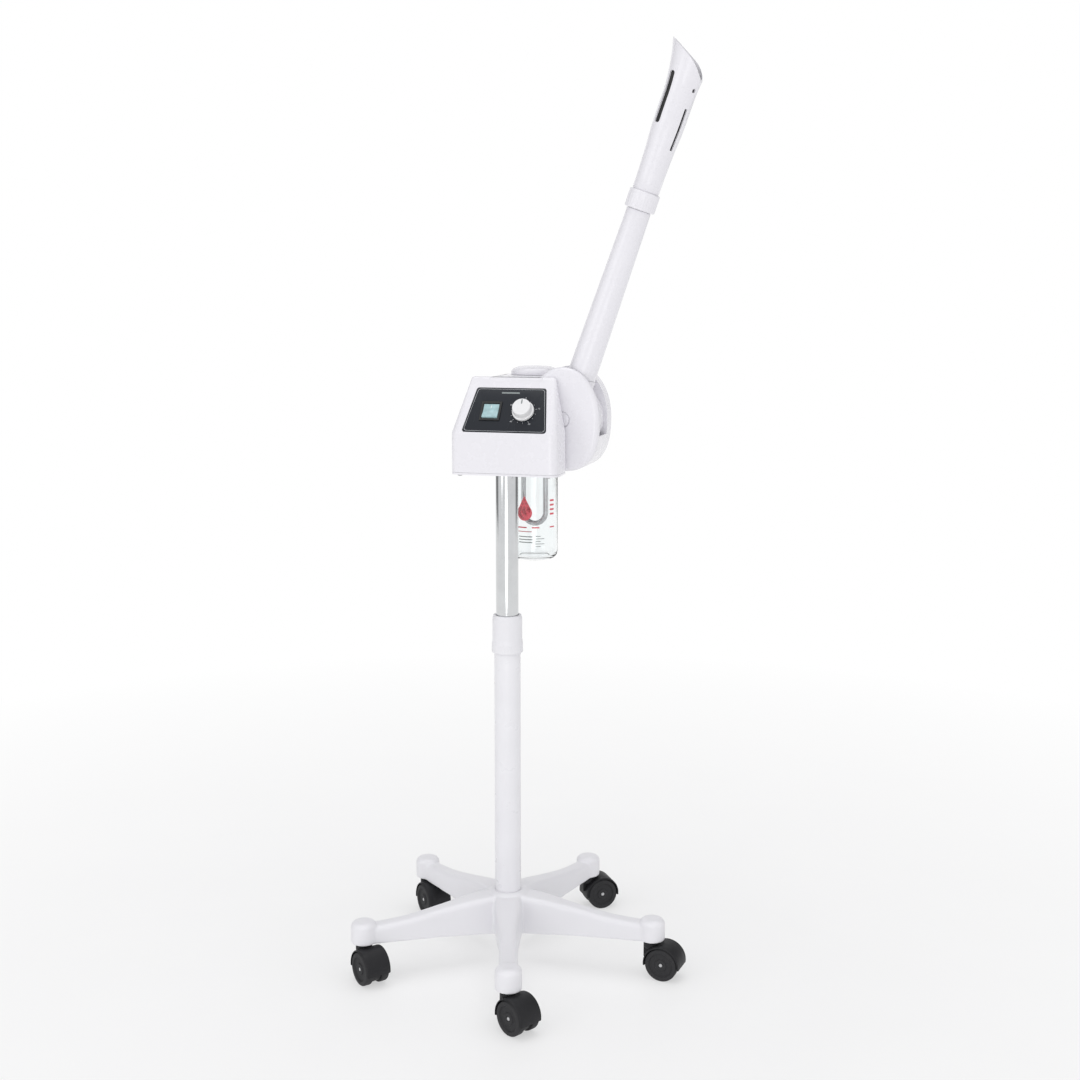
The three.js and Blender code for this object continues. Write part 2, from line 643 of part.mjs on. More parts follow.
const timer = add(panelFrame, "timer_body", joined(
  solid(box([-18, 18], [-18, 18], [-29, -6.8])),
  solid(rod(4.5, -8, -0.5)),
  solid(rod(TIMER_SHAFT_RADIUS, -1, 11.5)),
), material(0xcfcfc8, 0.5));
timer.position.set(KNOB_X, CONTROL_Y, 0);

// A board on two pillars, with a transformer and a relay.
const BOARD_Z = [720, 721.6];
const boardPillar = (x, y) => solid(rod(2.5, TRAY_TOP_Z + GAP, BOARD_Z[0]).translate(x, y, 0));
add(mast, "circuit_board", joined(
  solid(box([-72, -28], [-24.5, 8], BOARD_Z)),
  solid(box([-66, -50], [-20, 2], [BOARD_Z[1], BOARD_Z[1] + 12.4])),
  solid(box([-42, -34], [-20, 4], [BOARD_Z[1], BOARD_Z[1] + 8.4])),
  boardPillar(-67, -20),
  boardPillar(-32, 4),
), material(0x2d6b3c, 0.5));

const inletFace = CONSOLE_BACK_Y + 2;
const inletPin = (x, z) => solid(box([x - 1, x + 1], [inletFace - 17, inletFace - 7], [z - 2, z + 2]));
const inletPins = [inletPin(-7, -2), inletPin(0, 3), inletPin(7, -2)];
const inlet = cut(
  joined(
    solid(box([-13.7, 13.7], [CONSOLE_BACK_Y - 18, CONSOLE_BACK_Y + 1], [-9.7, 9.7])),
    solid(box([-17, 17], [CONSOLE_BACK_Y + GAP, inletFace], [-14, 14])),
  ),
  solid(box([-12, 12], [inletFace - 16, inletFace + 5], [-8, 8])),
);
const inletMesh = add(mast, "power_inlet", joined(inlet, ...inletPins), blackPlastic());
inletMesh.position.set(INLET_X, 0, INLET_Z);

// ---------------------------------------------------------------- boiler

const boiler = new THREE.Group();
boiler.position.set(BOILER_X, BOILER_Y, 0);
mast.add(boiler);

const PLATE_THICK = 4;
const plateLow = JAR_RIM_Z + 0.4;
const [skirtInner, skirtOuter] = SKIRT_RADII;
const boilerPlate = solid(turned([
  [skirtInner, SKIRT_UNDER_Z], [skirtOuter, SKIRT_UNDER_Z], [skirtOuter, plateLow + PLATE_THICK],
  [0, plateLow + PLATE_THICK], [0, plateLow], [skirtInner, plateLow], [skirtInner, SKIRT_UNDER_Z],
]));
const steamHole = solid(rod(11, plateLow - 5, plateLow + 10));
add(boiler, "boiler_plate", cut(boilerPlate, steamHole), material(0xb9bbbd, 0.35, 1));

const [nutLow, nutHigh] = NUT_Z;
const nutLip = JAR_RADIUS + 0.7;
const nutBore = skirtOuter + GAP;
add(boiler, "jar_nut", turnedRing([
  [nutLip, nutLow], [TOWER_RADIUS - 1.5, nutLow], [TOWER_RADIUS, nutLow + 1.5],
  [TOWER_RADIUS, nutHigh - 1.5], [TOWER_RADIUS - 1.5, nutHigh],
  [nutBore, nutHigh], [nutBore, SKIRT_UNDER_Z - GAP], [nutLip, SKIRT_UNDER_Z - GAP],
]), white());

add(boiler, "jar_gasket", tube(skirtInner - GAP, JAR_RADIUS + GAP, SKIRT_UNDER_Z, 708), rubber());

const jarInside = JAR_RADIUS - JAR_WALL;
add(boiler, "glass_jar", turned([
  [0, JAR_UNDER_Z], [25, JAR_UNDER_Z], [31.5, JAR_UNDER_Z + 1.8], [35.2, JAR_UNDER_Z + 6],
  [JAR_RADIUS, JAR_UNDER_Z + 12], [JAR_RADIUS, JAR_RIM_Z], [jarInside, JAR_RIM_Z],
  [jarInside, JAR_UNDER_Z + 12], [31.5, JAR_UNDER_Z + 6.5], [25, JAR_UNDER_Z + 3.6], [0, JAR_UNDER_Z + 3.6],
]), material(0xdfeaf0, 0.05));

// The heater's line: down one leg, round the bend and up the other.
class HeaterBend extends THREE.Curve {
  getPoint(t, target = new THREE.Vector3()) {
    const radius = HEATER_HALF_WIDTH;
    const leg = plateLow - GAP - HEATER_BEND_Z;
    const arc = Math.PI * radius;
    const along = t * (2 * leg + arc);
    if (along < leg) return target.set(-radius, 0, plateLow - GAP - along);
    if (along > leg + arc) return target.set(radius, 0, HEATER_BEND_Z + along - leg - arc);
    const angle = Math.PI + (along - leg) / radius;
    return target.set(radius * Math.cos(angle), 0, HEATER_BEND_Z + radius * Math.sin(angle));
  }
}
add(boiler, "heating_element", pipeAlong(new HeaterBend(), HEATER_ROD_RADIUS, 0, 20, 4), steel());

const chamberLow = plateLow + PLATE_THICK + GAP;
const chamberInside = CHAMBER_RADIUS - 2;
const chamberFlange = CHAMBER_RADIUS + 6;
const chamberShell = solid(turned([
  [chamberInside, chamberLow], [chamberFlange, chamberLow], [chamberFlange, chamberLow + 2],
  [CHAMBER_RADIUS, chamberLow + 2], [CHAMBER_RADIUS, CHAMBER_TOP_Z - 6],
  [CHAMBER_RADIUS - 6, CHAMBER_TOP_Z], [0, CHAMBER_TOP_Z],
  [0, CHAMBER_TOP_Z - 2], [CHAMBER_RADIUS - 6, CHAMBER_TOP_Z - 2],
  [chamberInside, CHAMBER_TOP_Z - 7], [chamberInside, chamberLow],
]));
const outletRod = rod(ELBOW_RADIUS - 2, 0, 40).rotateY(Math.PI / 2);
const chamberOutlet = solid(outletRod.translate(0, ELBOW_Y - BOILER_Y, PIVOT.z));
add(boiler, "steam_chamber", cut(chamberShell, chamberOutlet), material(0xb9bbbd, 0.35, 1));

const thermostat = add(boiler, "safety_thermostat", turned([
  [0, chamberLow], [7, chamberLow], [7, chamberLow + 6],
  [4, chamberLow + 6], [4, chamberLow + 11], [0, chamberLow + 11],
], SMALL), blackPlastic());
thermostat.position.set(-33, 0, 0);

// From the chamber's side wall to the arm's axis, then forward into the drum.
class ElbowBend extends THREE.Curve {
  getPoint(t, target = new THREE.Vector3()) {
    const bend = 15;
    const start = BOILER_X + CHAMBER_RADIUS + GAP;
    const straight = PIVOT.x - bend - start;
    const quarter = Math.PI / 2;
    const tail = ELBOW_Y - bend - (PIVOT.y + DRUM_HALF - 3);
    const along = t * (straight + bend * quarter + tail);
    if (along < straight) return target.set(start + along, ELBOW_Y, PIVOT.z);
    const angle = (along - straight) / bend;
    if (angle > quarter) return target.set(PIVOT.x, ELBOW_Y - bend * (1 + angle - quarter), PIVOT.z);
    const x = PIVOT.x - bend + bend * Math.sin(angle);
    return target.set(x, ELBOW_Y - bend + bend * Math.cos(angle), PIVOT.z);
  }
}
const elbowPipe = pipeAlong(new ElbowBend(), ELBOW_RADIUS, ELBOW_RADIUS - 2, 10, 6);
add(mast, "steam_elbow", elbowPipe, material(0xe8e6e0, 0.5));

// ---------------------------------------------------------------- arm housing

const podShell = cut(
  solid(upright(podOutline(0), ...POD_Y, POD_EDGE)),
  solid(upright(podOutline(WALL), POD_Y[0] + WALL, POD_Y[1] - WALL, POD_EDGE - WALL)),
);
const beyond = 400;
const slab = (front, back) => solid(box([-beyond, beyond], [front, back], [0, 1200]));
const podFront = podShell.intersect(slab(0, POD_SPLIT_Y - GAP / 2));
const podRear = podShell.intersect(slab(POD_SPLIT_Y + GAP / 2, 200));
const capHole = solid(alongY(rod(12 + GAP, 0, 20)).translate(PIVOT.x, POD_Y[0] - 5, PIVOT.z));
add(mast, "arm_housing_front", cut(podFront, capHole), white());

// Room for the neck and drum from upright to level, closed at the back by a bulkhead with a hole for the steam.
const neckRoom = NECK_RADIUS + 1.7;
const bulkheadY = [PIVOT.y + DRUM_HALF + 0.5, PIVOT.y + DRUM_HALF + 3];
const armSlot = solid(box([PIVOT.x - neckRoom, beyond], [0, bulkheadY[0]], [PIVOT.z - neckRoom, 1200]));
const bulkhead = solid(upright(podOutline(WALL / 2), ...bulkheadY));
const bulkheadHole = solid(alongY(rod(ELBOW_RADIUS + 1.2, 80, 90)).translate(PIVOT.x, 0, PIVOT.z));
const towerRod = onBoilerAxis(rod(TOWER_RADIUS + GAP, 600, 1000, ROUND));
const towerClearance = towerRod.intersect(slab(drumBackY, 300));
const plateClearance = onBoilerAxis(rod(skirtOuter + 1, 600, 722, ROUND));
const rearHoles = [armSlot, bulkheadHole, towerClearance, plateClearance];
add(mast, "arm_housing_rear", cut(podRear.add(bulkhead), ...rearHoles), white());

const capMesh = add(mast, "pivot_cap", alongY(turned([
  [0, 0], [10.5, 0], [12, 1.5], [12, 3], [CAP_PIN_RADIUS, 3], [CAP_PIN_RADIUS, 26], [0, 26],
])), material(0xe9e8ee, 0.3));
capMesh.position.set(PIVOT.x, POD_Y[0] + 0.2, PIVOT.z);

// ---------------------------------------------------------------- arm

const arm = new THREE.Group(); // its Z runs along the arm, from the pivot
arm.position.copy(PIVOT);
arm.rotation.y = radians(ARM_LEAN_DEG);
mast.add(arm);

function armHub() {
  const inside = DRUM_RADIUS - WALL;
  const side = DRUM_HALF;
  const pinHole = CAP_PIN_RADIUS + GAP;
  const elbowHole = ELBOW_RADIUS + GAP;
  const drum = solid(alongY(turnedRing([
    [pinHole, -side], [DRUM_RADIUS - 2, -side], [DRUM_RADIUS, -side + 2], [DRUM_RADIUS, side - 2],
    [DRUM_RADIUS - 2, side], [elbowHole, side], [elbowHole, side - WALL],
    [inside, side - WALL], [inside, -side + WALL], [9, -side + WALL], [9, -8], [pinHole, -8],
  ], 32)));
  const neck = solid(rod(NECK_RADIUS, 30, NECK_END, ROUND));
  const cavity = solid(alongY(rod(inside, -side + WALL, side - WALL, 32)));
  const bore = solid(rod(TENON_RADIUS + GAP, 30, NECK_END + 5, ROUND));
  return cut(drum.add(cut(neck, cavity)), bore);
}

add(arm, "arm_hub", armHub(), white());

const spigotEnd = ARM_END + 26;
add(arm, "arm_tube", turnedRing([
  [ARM_BORE, 44], [TENON_RADIUS, 44], [TENON_RADIUS, NECK_END + GAP], [21.8, NECK_END + GAP],
  [21.4, 120], [18.3, ARM_END], [SPIGOT_RADIUS, ARM_END], [SPIGOT_RADIUS, spigotEnd], [ARM_BORE, spigotEnd],
]), white());

add(arm, "steam_pipe", tube(12, 10, 50, 380, 20), material(0xd8d4c8, 0.6));

// ---------------------------------------------------------------- nozzle

const NOZZLE_THROAT = 19.6; // outer radius at its lower end
const ringLow = ARM_END + 0.6;
const ringHigh = ARM_END + 28;
const ringBore = SPIGOT_RADIUS + GAP;
const ringSeat = NOZZLE_THROAT + GAP;
add(arm, "nozzle_ring", turnedRing([
  [ringBore, ringLow], [21.8, ringLow], [23, ringLow + 1.4], [23, ringHigh - 1.5], [21.8, ringHigh],
  [ringSeat, ringHigh], [ringSeat, NOZZLE_START - GAP], [ringBore, NOZZLE_START - GAP],
]), white());

// Everything beyond the mouth, moved back along the arm by a setback. Seen from the side, the mouth is
// a straight slant that rounds down over the nozzle's short side.
function beyondMouth(setback) {
  const slant = radians(MOUTH_TILT_DEG);
  const steps = 8;
  const curve = [];
  for (let k = 0; k <= steps; k += 1) {
    const slope = THREE.MathUtils.lerp(slant, radians(MOUTH_END_DEG), k / steps);
    curve.push([
      MOUTH_ROUNDING * (Math.sin(slope) - Math.sin(slant)),
      MOUTH_ON_AXIS - MOUTH_ROUNDING * (Math.cos(slant) - Math.cos(slope)),
    ]);
  }
  const [, endHeight] = curve[steps];
  const outline = polygon([
    [-100, 800], [-100, MOUTH_ON_AXIS + 100 * Math.tan(slant)], ...curve, [100, endHeight], [100, 800],
  ]);
  return solid(upright(outline, -100, 100).translate(0, 0, -setback));
}

const THROUGH_WALL = [-60, -17]; // Y range of a cutter that goes through the nozzle's front wall

// A long cutter with clipped corners, through the wall at one place round the nozzle.
// Angle 0 is the front, positive towards the arm's right-hand side.
function slotCutter(angleDeg, from, to, width) {
  const half = width / 2;
  const corner = width * 0.2;
  const outline = polygon([
    [-half, from + corner], [corner - half, from], [half - corner, from], [half, from + corner],
    [half, to - corner], [half - corner, to], [corner - half, to], [-half, to - corner],
  ]);
  return solid(upright(outline, ...THROUGH_WALL).rotateZ(radians(angleDeg)));
}

const outerProfile = [
  [NOZZLE_THROAT, NOZZLE_START], [NOZZLE_THROAT, 355], [20.2, 356], [20.3, 384],
  [23.4, 450], [23.8, 505], [26, 528], [30, 552], [38, 583],
];
const shellWall = 2.3;
const shellOutline = [
  ...outerProfile,
  ...outerProfile.slice().reverse().map(([radius, height]) => [radius - shellWall, height]),
];
const slots = [
  slotCutter(-39, 452, 527, 10.5),
  slotCutter(141, 452, 527, 10.5),
  slotCutter(57, 420, 482, 5),
  slotCutter(-123, 420, 482, 5),
  solid(alongY(rod(3.2, ...THROUGH_WALL, 12)).translate(0, 0, 509).rotateZ(radians(62))),
];
add(arm, "nozzle_shell", cut(solid(turnedRing(shellOutline)), beyondMouth(0), ...slots), white());

const liner = solid(turnedRing([
  [18.4, 412], [20.3, 450], [20.9, 505], [24.5, 545], [24.5, 560], [22.8, 560], [22.8, 545], [19.2, 505],
  [18.6, 450], [16.8, 412],
]));
add(arm, "nozzle_liner", cut(liner, beyondMouth(13)), blackPlastic());

const part = new THREE.Group();
part.add(steamer);
steamer.position.set(COLUMN_X, COLUMN_Y, 0);

export default part;
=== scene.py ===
"""Facial steamer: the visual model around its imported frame. Metres, +Z up, -Y the front, +X the arm's side.

Profiles are written in millimetres, in the frame of the joint or piece they belong to."""
import cmath
import json
import math

import bmesh
import bpy
from mathutils import Matrix, Vector

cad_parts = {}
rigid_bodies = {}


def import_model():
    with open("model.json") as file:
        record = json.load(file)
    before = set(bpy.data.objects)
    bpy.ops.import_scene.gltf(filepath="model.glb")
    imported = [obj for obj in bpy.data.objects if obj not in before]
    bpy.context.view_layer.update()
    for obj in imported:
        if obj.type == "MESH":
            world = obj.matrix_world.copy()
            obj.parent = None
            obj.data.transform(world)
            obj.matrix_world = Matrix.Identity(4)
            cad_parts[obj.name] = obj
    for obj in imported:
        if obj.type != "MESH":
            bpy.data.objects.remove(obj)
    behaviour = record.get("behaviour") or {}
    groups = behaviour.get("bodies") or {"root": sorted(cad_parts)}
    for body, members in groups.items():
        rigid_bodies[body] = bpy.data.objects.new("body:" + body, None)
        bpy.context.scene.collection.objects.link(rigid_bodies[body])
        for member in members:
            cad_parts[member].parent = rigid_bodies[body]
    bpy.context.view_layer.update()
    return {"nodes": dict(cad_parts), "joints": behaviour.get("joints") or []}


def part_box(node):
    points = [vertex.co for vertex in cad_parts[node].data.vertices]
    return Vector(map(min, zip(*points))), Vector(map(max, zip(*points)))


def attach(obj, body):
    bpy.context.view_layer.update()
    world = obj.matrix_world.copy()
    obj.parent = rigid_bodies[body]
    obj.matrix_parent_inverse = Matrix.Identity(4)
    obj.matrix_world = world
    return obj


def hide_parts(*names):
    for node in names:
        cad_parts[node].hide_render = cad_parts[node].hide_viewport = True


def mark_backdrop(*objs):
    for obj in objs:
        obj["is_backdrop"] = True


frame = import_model()

MM = 0.001
GAP = 0.3
WALL = 3
joints = {joint["name"]: joint for joint in frame["joints"]}

# ---------------------------------------------------------------- places taken from the frame

PIVOT = Vector(joints["arm_tilt"]["pos_m"])
ARM_AXIS = Vector(joints["nozzle_turn"]["axis"])
ARM = Matrix.Translation(PIVOT) @ Matrix.Rotation(math.atan2(ARM_AXIS.x, ARM_AXIS.z), 4, "Y")

KNOB = Vector(joints["timer_knob_turn"]["pos_m"])
SLOPE_NORMAL = -Vector(joints["timer_knob_turn"]["axis"]).normalized()
SLOPE = math.atan2(-SLOPE_NORMAL.y, SLOPE_NORMAL.z)
SLOPE_TURN = Matrix.Rotation(SLOPE, 4, "X")
PANEL_ORIGIN = KNOB - SLOPE_TURN.to_3x3() @ Vector((25, -2.5, 0)) * MM
PANEL = Matrix.Translation(PANEL_ORIGIN) @ SLOPE_TURN


def floor_point(node):
    """The point on the floor below the middle of a node."""
    low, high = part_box(node)
    return Vector(((low.x + high.x) / 2, (low.y + high.y) / 2, 0))


HEAD_UNDER = 709  # the head's heights are written as if its underside were here
LIFT = Vector((0, 0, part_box("housing_base")[0].z - HEAD_UNDER * MM))
COLUMN = Matrix.Translation(floor_point("lower_tube"))
MAST = Matrix.Translation(floor_point("lower_tube") + LIFT)
BOILER = Matrix.Translation(floor_point("glass_jar") + LIFT)
BOILER_X, BOILER_Y, _ = (BOILER.translation - COLUMN.translation) / MM

CASTERS = []
for number in range(1, 6):
    axle = joints[f"wheel_roll_left_{number}"]["axis"]
    heading = Matrix.Rotation(math.atan2(-axle[0], axle[1]), 4, "Z")
    CASTERS.append(Matrix.Translation(floor_point(f"caster_stem_{number}")) @ heading)


# ---------------------------------------------------------------- mesh tools


def rounded(points, radius, steps=4, closed=True):
    """A flat outline with its corners rounded; radius is one size, or one for each corner."""
    count = len(points)
    radii = radius if isinstance(radius, (list, tuple)) else [radius] * count
    result = []
    for i, point in enumerate(points):
        here = complex(*point)
        back = complex(*points[i - 1]) - here
        on = complex(*points[(i + 1) % count]) - here
        end = not closed and i in (0, count - 1)
        if end or radii[i] <= 0 or not abs(back) or not abs(on):
            result.append((here.real, here.imag))
            continue
        half = abs(cmath.phase(back / on)) / 2
        if half > 1.55 or half < 0.02:
            result.append((here.real, here.imag))
            continue
        reach = min(radii[i] / math.tan(half), 0.48 * abs(back), 0.48 * abs(on))
        middle = back / abs(back) + on / abs(on)
        centre = here + middle / abs(middle) * reach / math.cos(half)
        start = here + back / abs(back) * reach - centre
        sweep = cmath.phase((here + on / abs(on) * reach - centre) / start)
        for k in range(steps + 1):
            at = centre + start * cmath.exp(1j * sweep * k / steps)
            result.append((at.real, at.imag))
    return result


def through(points, steps=6):
    """A smooth curve through flat points, for slow tapers."""
    result = []
    for i in range(len(points) - 1):
        before, a, b, after = (Vector(points[min(max(i + k, 0), len(points) - 1)]) for k in (-1, 0, 1, 2))
        for k in range(steps):
            t = k / steps
            bend = a * 2 + (b - before) * t + (before * 2 - a * 5 + b * 4 - after) * t * t
            at = (bend + (a * 3 - before - b * 3 + after) * t**3) / 2
            result.append(tuple(at))
    result.append(tuple(points[-1]))
    return result


def piece_from(name, bm, matrix=None):
    bmesh.ops.remove_doubles(bm, verts=bm.verts, dist=1e-4)
    bmesh.ops.recalc_face_normals(bm, faces=bm.faces)
    if bm.calc_volume(signed=True) < 0:
        bmesh.ops.reverse_faces(bm, faces=bm.faces)
    mesh = bpy.data.meshes.new(name)
    bm.to_mesh(mesh)
    bm.free()
    mesh.transform(Matrix.Scale(MM, 4))
    if matrix is not None:
        mesh.transform(matrix)
    obj = bpy.data.objects.new(name, mesh)
    bpy.context.scene.collection.objects.link(obj)
    return obj


def skin(bm, rings, closed=False):
    """Quads between neighbouring rings of vertices; closed joins the last ring to the first."""
    pairs = list(zip(rings, rings[1:]))
    if closed:
        pairs.append((rings[-1], rings[0]))
    for low, high in pairs:
        for i in range(len(low)):
            j = (i + 1) % len(low)
            corners = []
            for vert in (low[i], low[j], high[j], high[i]):
                if vert not in corners:
                    corners.append(vert)
            if len(corners) > 2:
                bm.faces.new(corners)


def lathe(name, outline, matrix=None, segments=96, closed=True, ripple=None):
    """Turns an outline of (radius, height) pairs about Z.

    ripple is the grip flutes' (count, depth, lowest, highest)."""
    bm = bmesh.new()
    rings = []
    outer = max(radius for radius, _ in outline)
    for radius, height in outline:
        if radius < 1e-6:
            rings.append([bm.verts.new((0, 0, height))] * segments)
            continue
        ring = []
        for k in range(segments):
            angle = 2 * math.pi * k / segments
            r = radius
            if ripple and ripple[2] <= height <= ripple[3] and radius > outer * 0.93:
                r -= ripple[1] * (0.5 - 0.5 * math.cos(ripple[0] * angle))
            ring.append(bm.verts.new((r * math.cos(angle), r * math.sin(angle), height)))
        rings.append(ring)
    skin(bm, rings, closed)
    return piece_from(name, bm, matrix)


def loft(name, rings, matrix=None):
    """A closed solid through rings of points, each with the same count."""
    bm = bmesh.new()
    made = [[bm.verts.new(point) for point in ring] for ring in rings]
    skin(bm, made)
    bm.faces.new(made[0])
    bm.faces.new(made[-1])
    return piece_from(name, bm, matrix)


def shrunk(outline, inset):
    """A flat outline moved inwards everywhere by an inset."""
    count = len(outline)
    area = sum(
        outline[i - 1][0] * outline[i][1] - outline[i][0] * outline[i - 1][1] for i in range(count)
    )
    side = 1 if area > 0 else -1
    result = []
    for i, point in enumerate(outline):
        here = complex(*point)
        back = here - complex(*outline[i - 1])
        on = complex(*outline[(i + 1) % count]) - here
        back, on = back / abs(back), on / abs(on)
        normal = (back + on) * 1j
        normal /= abs(normal)
        mitre = max((normal * (on * 1j).conjugate()).real, 0.4)
        moved = here + normal * inset * side / mitre
        result.append((moved.real, moved.imag))
    return result


def prism(name, outline, low, high, matrix=None, edge=0, steps=4, ends="both"):
    """A flat outline raised from low to high, with rounded rims of radius edge."""
    levels = [(0, low), (0, high)]
    if edge > 0:
        arc = [(edge * (1 - math.sin(a)), edge * (1 - math.cos(a))) for a in quarter(steps)]
        levels = []
        levels += [(inset, low + rise) for inset, rise in arc] if ends != "top" else [(0, low)]
        levels += [(inset, high - rise) for inset, rise in reversed(arc)]
    rings = [[(x, y, z) for x, y in shrunk(outline, inset)] for inset, z in levels]
    return loft(name, rings, matrix)


def quarter(steps):
    return [math.pi / 2 * k / steps for k in range(steps + 1)]


def circle(radius, count=64, x=0, y=0):
    turns = [2 * math.pi * k / count for k in range(count)]
    return [(x + radius * math.cos(a), y + radius * math.sin(a)) for a in turns]


def rectangle(left, right, low, high):
    return [(left, low), (right, low), (right, high), (left, high)]


def block(name, x, y, z, matrix=None):
    return prism(name, rectangle(*x, *y), *z, matrix)


def rod(name, radius, low, high, matrix=None, count=64):
    return prism(name, circle(radius, count), low, high, matrix)


def apply(obj):
    """Puts an object's modifiers into its mesh."""
    graph = bpy.context.evaluated_depsgraph_get()
    mesh = bpy.data.meshes.new_from_object(obj.evaluated_get(graph))
    obj.modifiers.clear()
    old = obj.data
    obj.data = mesh
    bpy.data.meshes.remove(old)
    return obj


def combine(obj, others, operation):
    for other in others:
        modifier = obj.modifiers.new(operation, "BOOLEAN")
        modifier.operation = operation
        modifier.object = other
        modifier.solver = "MANIFOLD"
    bpy.context.view_layer.update()
    apply(obj)
    for other in others:
        bpy.data.objects.remove(other)
    return obj


def cut(obj, *others):
    return combine(obj, others, "DIFFERENCE")


def join(obj, *others):
    return combine(obj, others, "UNION")


def eased(obj, width, segments=2, angle=30):
    """A small rounding along an object's sharp edges."""
    modifier = obj.modifiers.new("edges", "BEVEL")
    modifier.width = width * MM
    modifier.segments = segments
    modifier.limit_method = "ANGLE"
    modifier.angle_limit = math.radians(angle)
    return obj


def shaded(obj, angle=38):
    mesh = obj.data
    mesh.polygons.foreach_set("use_smooth", [True] * len(mesh.polygons))
    mesh.set_sharp_from_angle(angle=math.radians(angle))
    return obj


def settle(obj, body, slot, look, *nodes):
    """Gives a piece its material and its body, and hides the CAD nodes it stands for."""
    shaded(obj)
    obj.data.materials.clear()
    obj.data.materials.append(look)
    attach(obj, body)
    if nodes:
        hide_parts(*nodes)
    return obj


# ---------------------------------------------------------------- materials


class Nodes:
    """A material's node tree, with short calls to add and link nodes."""

    def __init__(self, name):
        self.material = bpy.data.materials.new(name)
        self.material.use_nodes = True
        self.tree = self.material.node_tree
        self.shader = self.tree.nodes["Principled BSDF"]
        self.place = self.add("ShaderNodeTexCoord").outputs["Object"]

    def add(self, kind, inputs=(), **settings):
        node = self.tree.nodes.new(kind)
        for key, value in settings.items():
            setattr(node, key, value)
        for key, value in dict(inputs).items():
            if isinstance(value, bpy.types.NodeSocket):
                self.tree.links.new(value, node.inputs[key])
            else:
                node.inputs[key].default_value = value
        return node

    def noise(self, scale, detail=3, stretch=(1, 1, 1), roughness=0.5):
        place = self.add("ShaderNodeMapping", {"Vector": self.place, "Scale": stretch}).outputs[0]
        inputs = {"Vector": place, "Scale": scale, "Detail": detail, "Roughness": roughness}
        return self.add("ShaderNodeTexNoise", inputs).outputs["Fac"]

    def spread(self, value, low, high, source=(0.3, 0.7)):
        inputs = {"Value": value, "From Min": source[0], "From Max": source[1], "To Min": low, "To Max": high}
        return self.add("ShaderNodeMapRange", inputs).outputs[0]

    def blend(self, factor, first, second):
        node = self.add("ShaderNodeMix", data_type="RGBA")
        self.tree.links.new(factor, node.inputs[0])
        for socket, value in ((node.inputs[6], first), (node.inputs[7], second)):
            if isinstance(value, bpy.types.NodeSocket):
                self.tree.links.new(value, socket)
            else:
                socket.default_value = (*value, 1)
        return node.outputs[2]

    def bump(self, height, strength, distance, normal=None):
        inputs = {"Height": height, "Strength": strength, "Distance": distance * MM}
        if normal:
            inputs["Normal"] = normal
        return self.add("ShaderNodeBump", inputs).outputs[0]

    def feed(self, **values):
        names = {"colour": "Base Color", "rough": "Roughness", "normal": "Normal"}
        for key, value in values.items():
            self.tree.links.new(value, self.shader.inputs[names[key]])

    def set(self, **values):
        for key, value in values.items():
            self.shader.inputs[key.replace("_", " ").title().replace("Ior", "IOR")].default_value = value


def darker(colour, factor):
    return tuple(channel * factor for channel in colour)


def moulded(name, colour, rough, grain=900, depth=0.02, soil=0.03, spread=0.06, coat=0.0):
    """Moulded plastic: a faint orange peel, uneven gloss and a trace of handling soil."""
    m = Nodes(name)
    fine = m.noise(grain, 2)
    slow = m.noise(7, 3, roughness=0.5)
    patches = m.noise(45, 5, roughness=0.65)
    m.feed(
        colour=m.blend(m.spread(slow, 0, 1, (0.35, 0.75)), colour, darker(colour, 1 - soil)),
        rough=m.spread(patches, rough - spread, rough + spread),
        normal=m.bump(fine, 0.2, depth),
    )
    m.set(coat_weight=coat, coat_roughness=0.08, ior=1.5)
    return m.material


def powder_coat(name, colour):
    m = Nodes(name)
    peel = m.noise(650, 3, roughness=0.6)
    slow = m.noise(14, 3)
    m.feed(
        colour=m.blend(m.spread(slow, 0, 1), colour, darker(colour, 0.95)),
        rough=m.spread(m.noise(60, 4), 0.26, 0.38),
        normal=m.bump(peel, 0.35, 0.08),
    )
    m.set(ior=1.5)
    return m.material


def glass_filled(name, colour, rough, speck=0.25):
    """Nylon with short fibres: fine speckle and scuffs where it is touched."""
    m = Nodes(name)
    specks = m.noise(2400, 2)
    scuffs = m.noise(160, 6, (1, 1, 0.25), 0.7)
    speckled = tuple(min(1, c + 0.045) for c in colour)
    scuffed = tuple(min(1, c * 0.9 + 0.03) for c in colour)
    base = m.blend(m.spread(specks, 0, speck, (0.45, 0.8)), colour, speckled)
    m.feed(
        colour=m.blend(m.spread(scuffs, 0, 0.5, (0.6, 0.8)), base, scuffed),
        rough=m.spread(scuffs, rough - 0.06, rough + 0.12),
        normal=m.bump(m.noise(1500, 3), 0.3, 0.05),
    )
    m.set(ior=1.48, specular_ior_level=0.3)
    return m.material


def metal(name, colour, rough, stretch, grain=300, depth=0.02, spread=0.06, anisotropic=0.0):
    """Bright metal whose marks run one way, set by the stretch."""
    m = Nodes(name)
    lines = m.noise(grain, 4, stretch, 0.6)
    smears = m.noise(25, 4, roughness=0.6)
    m.feed(
        colour=m.blend(m.spread(smears, 0, 1), colour, darker(colour, 0.9)),
        rough=m.spread(lines, rough - spread, rough + spread),
        normal=m.bump(lines, 0.3, depth),
    )
    m.set(metallic=1.0, anisotropic=anisotropic)
    return m.material


def cast_alloy(name):
    m = Nodes(name)
    grains = m.add("ShaderNodeTexVoronoi", {"Vector": m.place, "Scale": 500}).outputs["Distance"]
    m.feed(
        colour=m.blend(m.spread(m.noise(120, 5), 0, 1), (0.62, 0.63, 0.64), (0.45, 0.46, 0.47)),
        rough=m.spread(m.noise(300, 3), 0.34, 0.52),
        normal=m.bump(grains, 0.25, 0.08),
    )
    m.set(metallic=1.0)
    return m.material


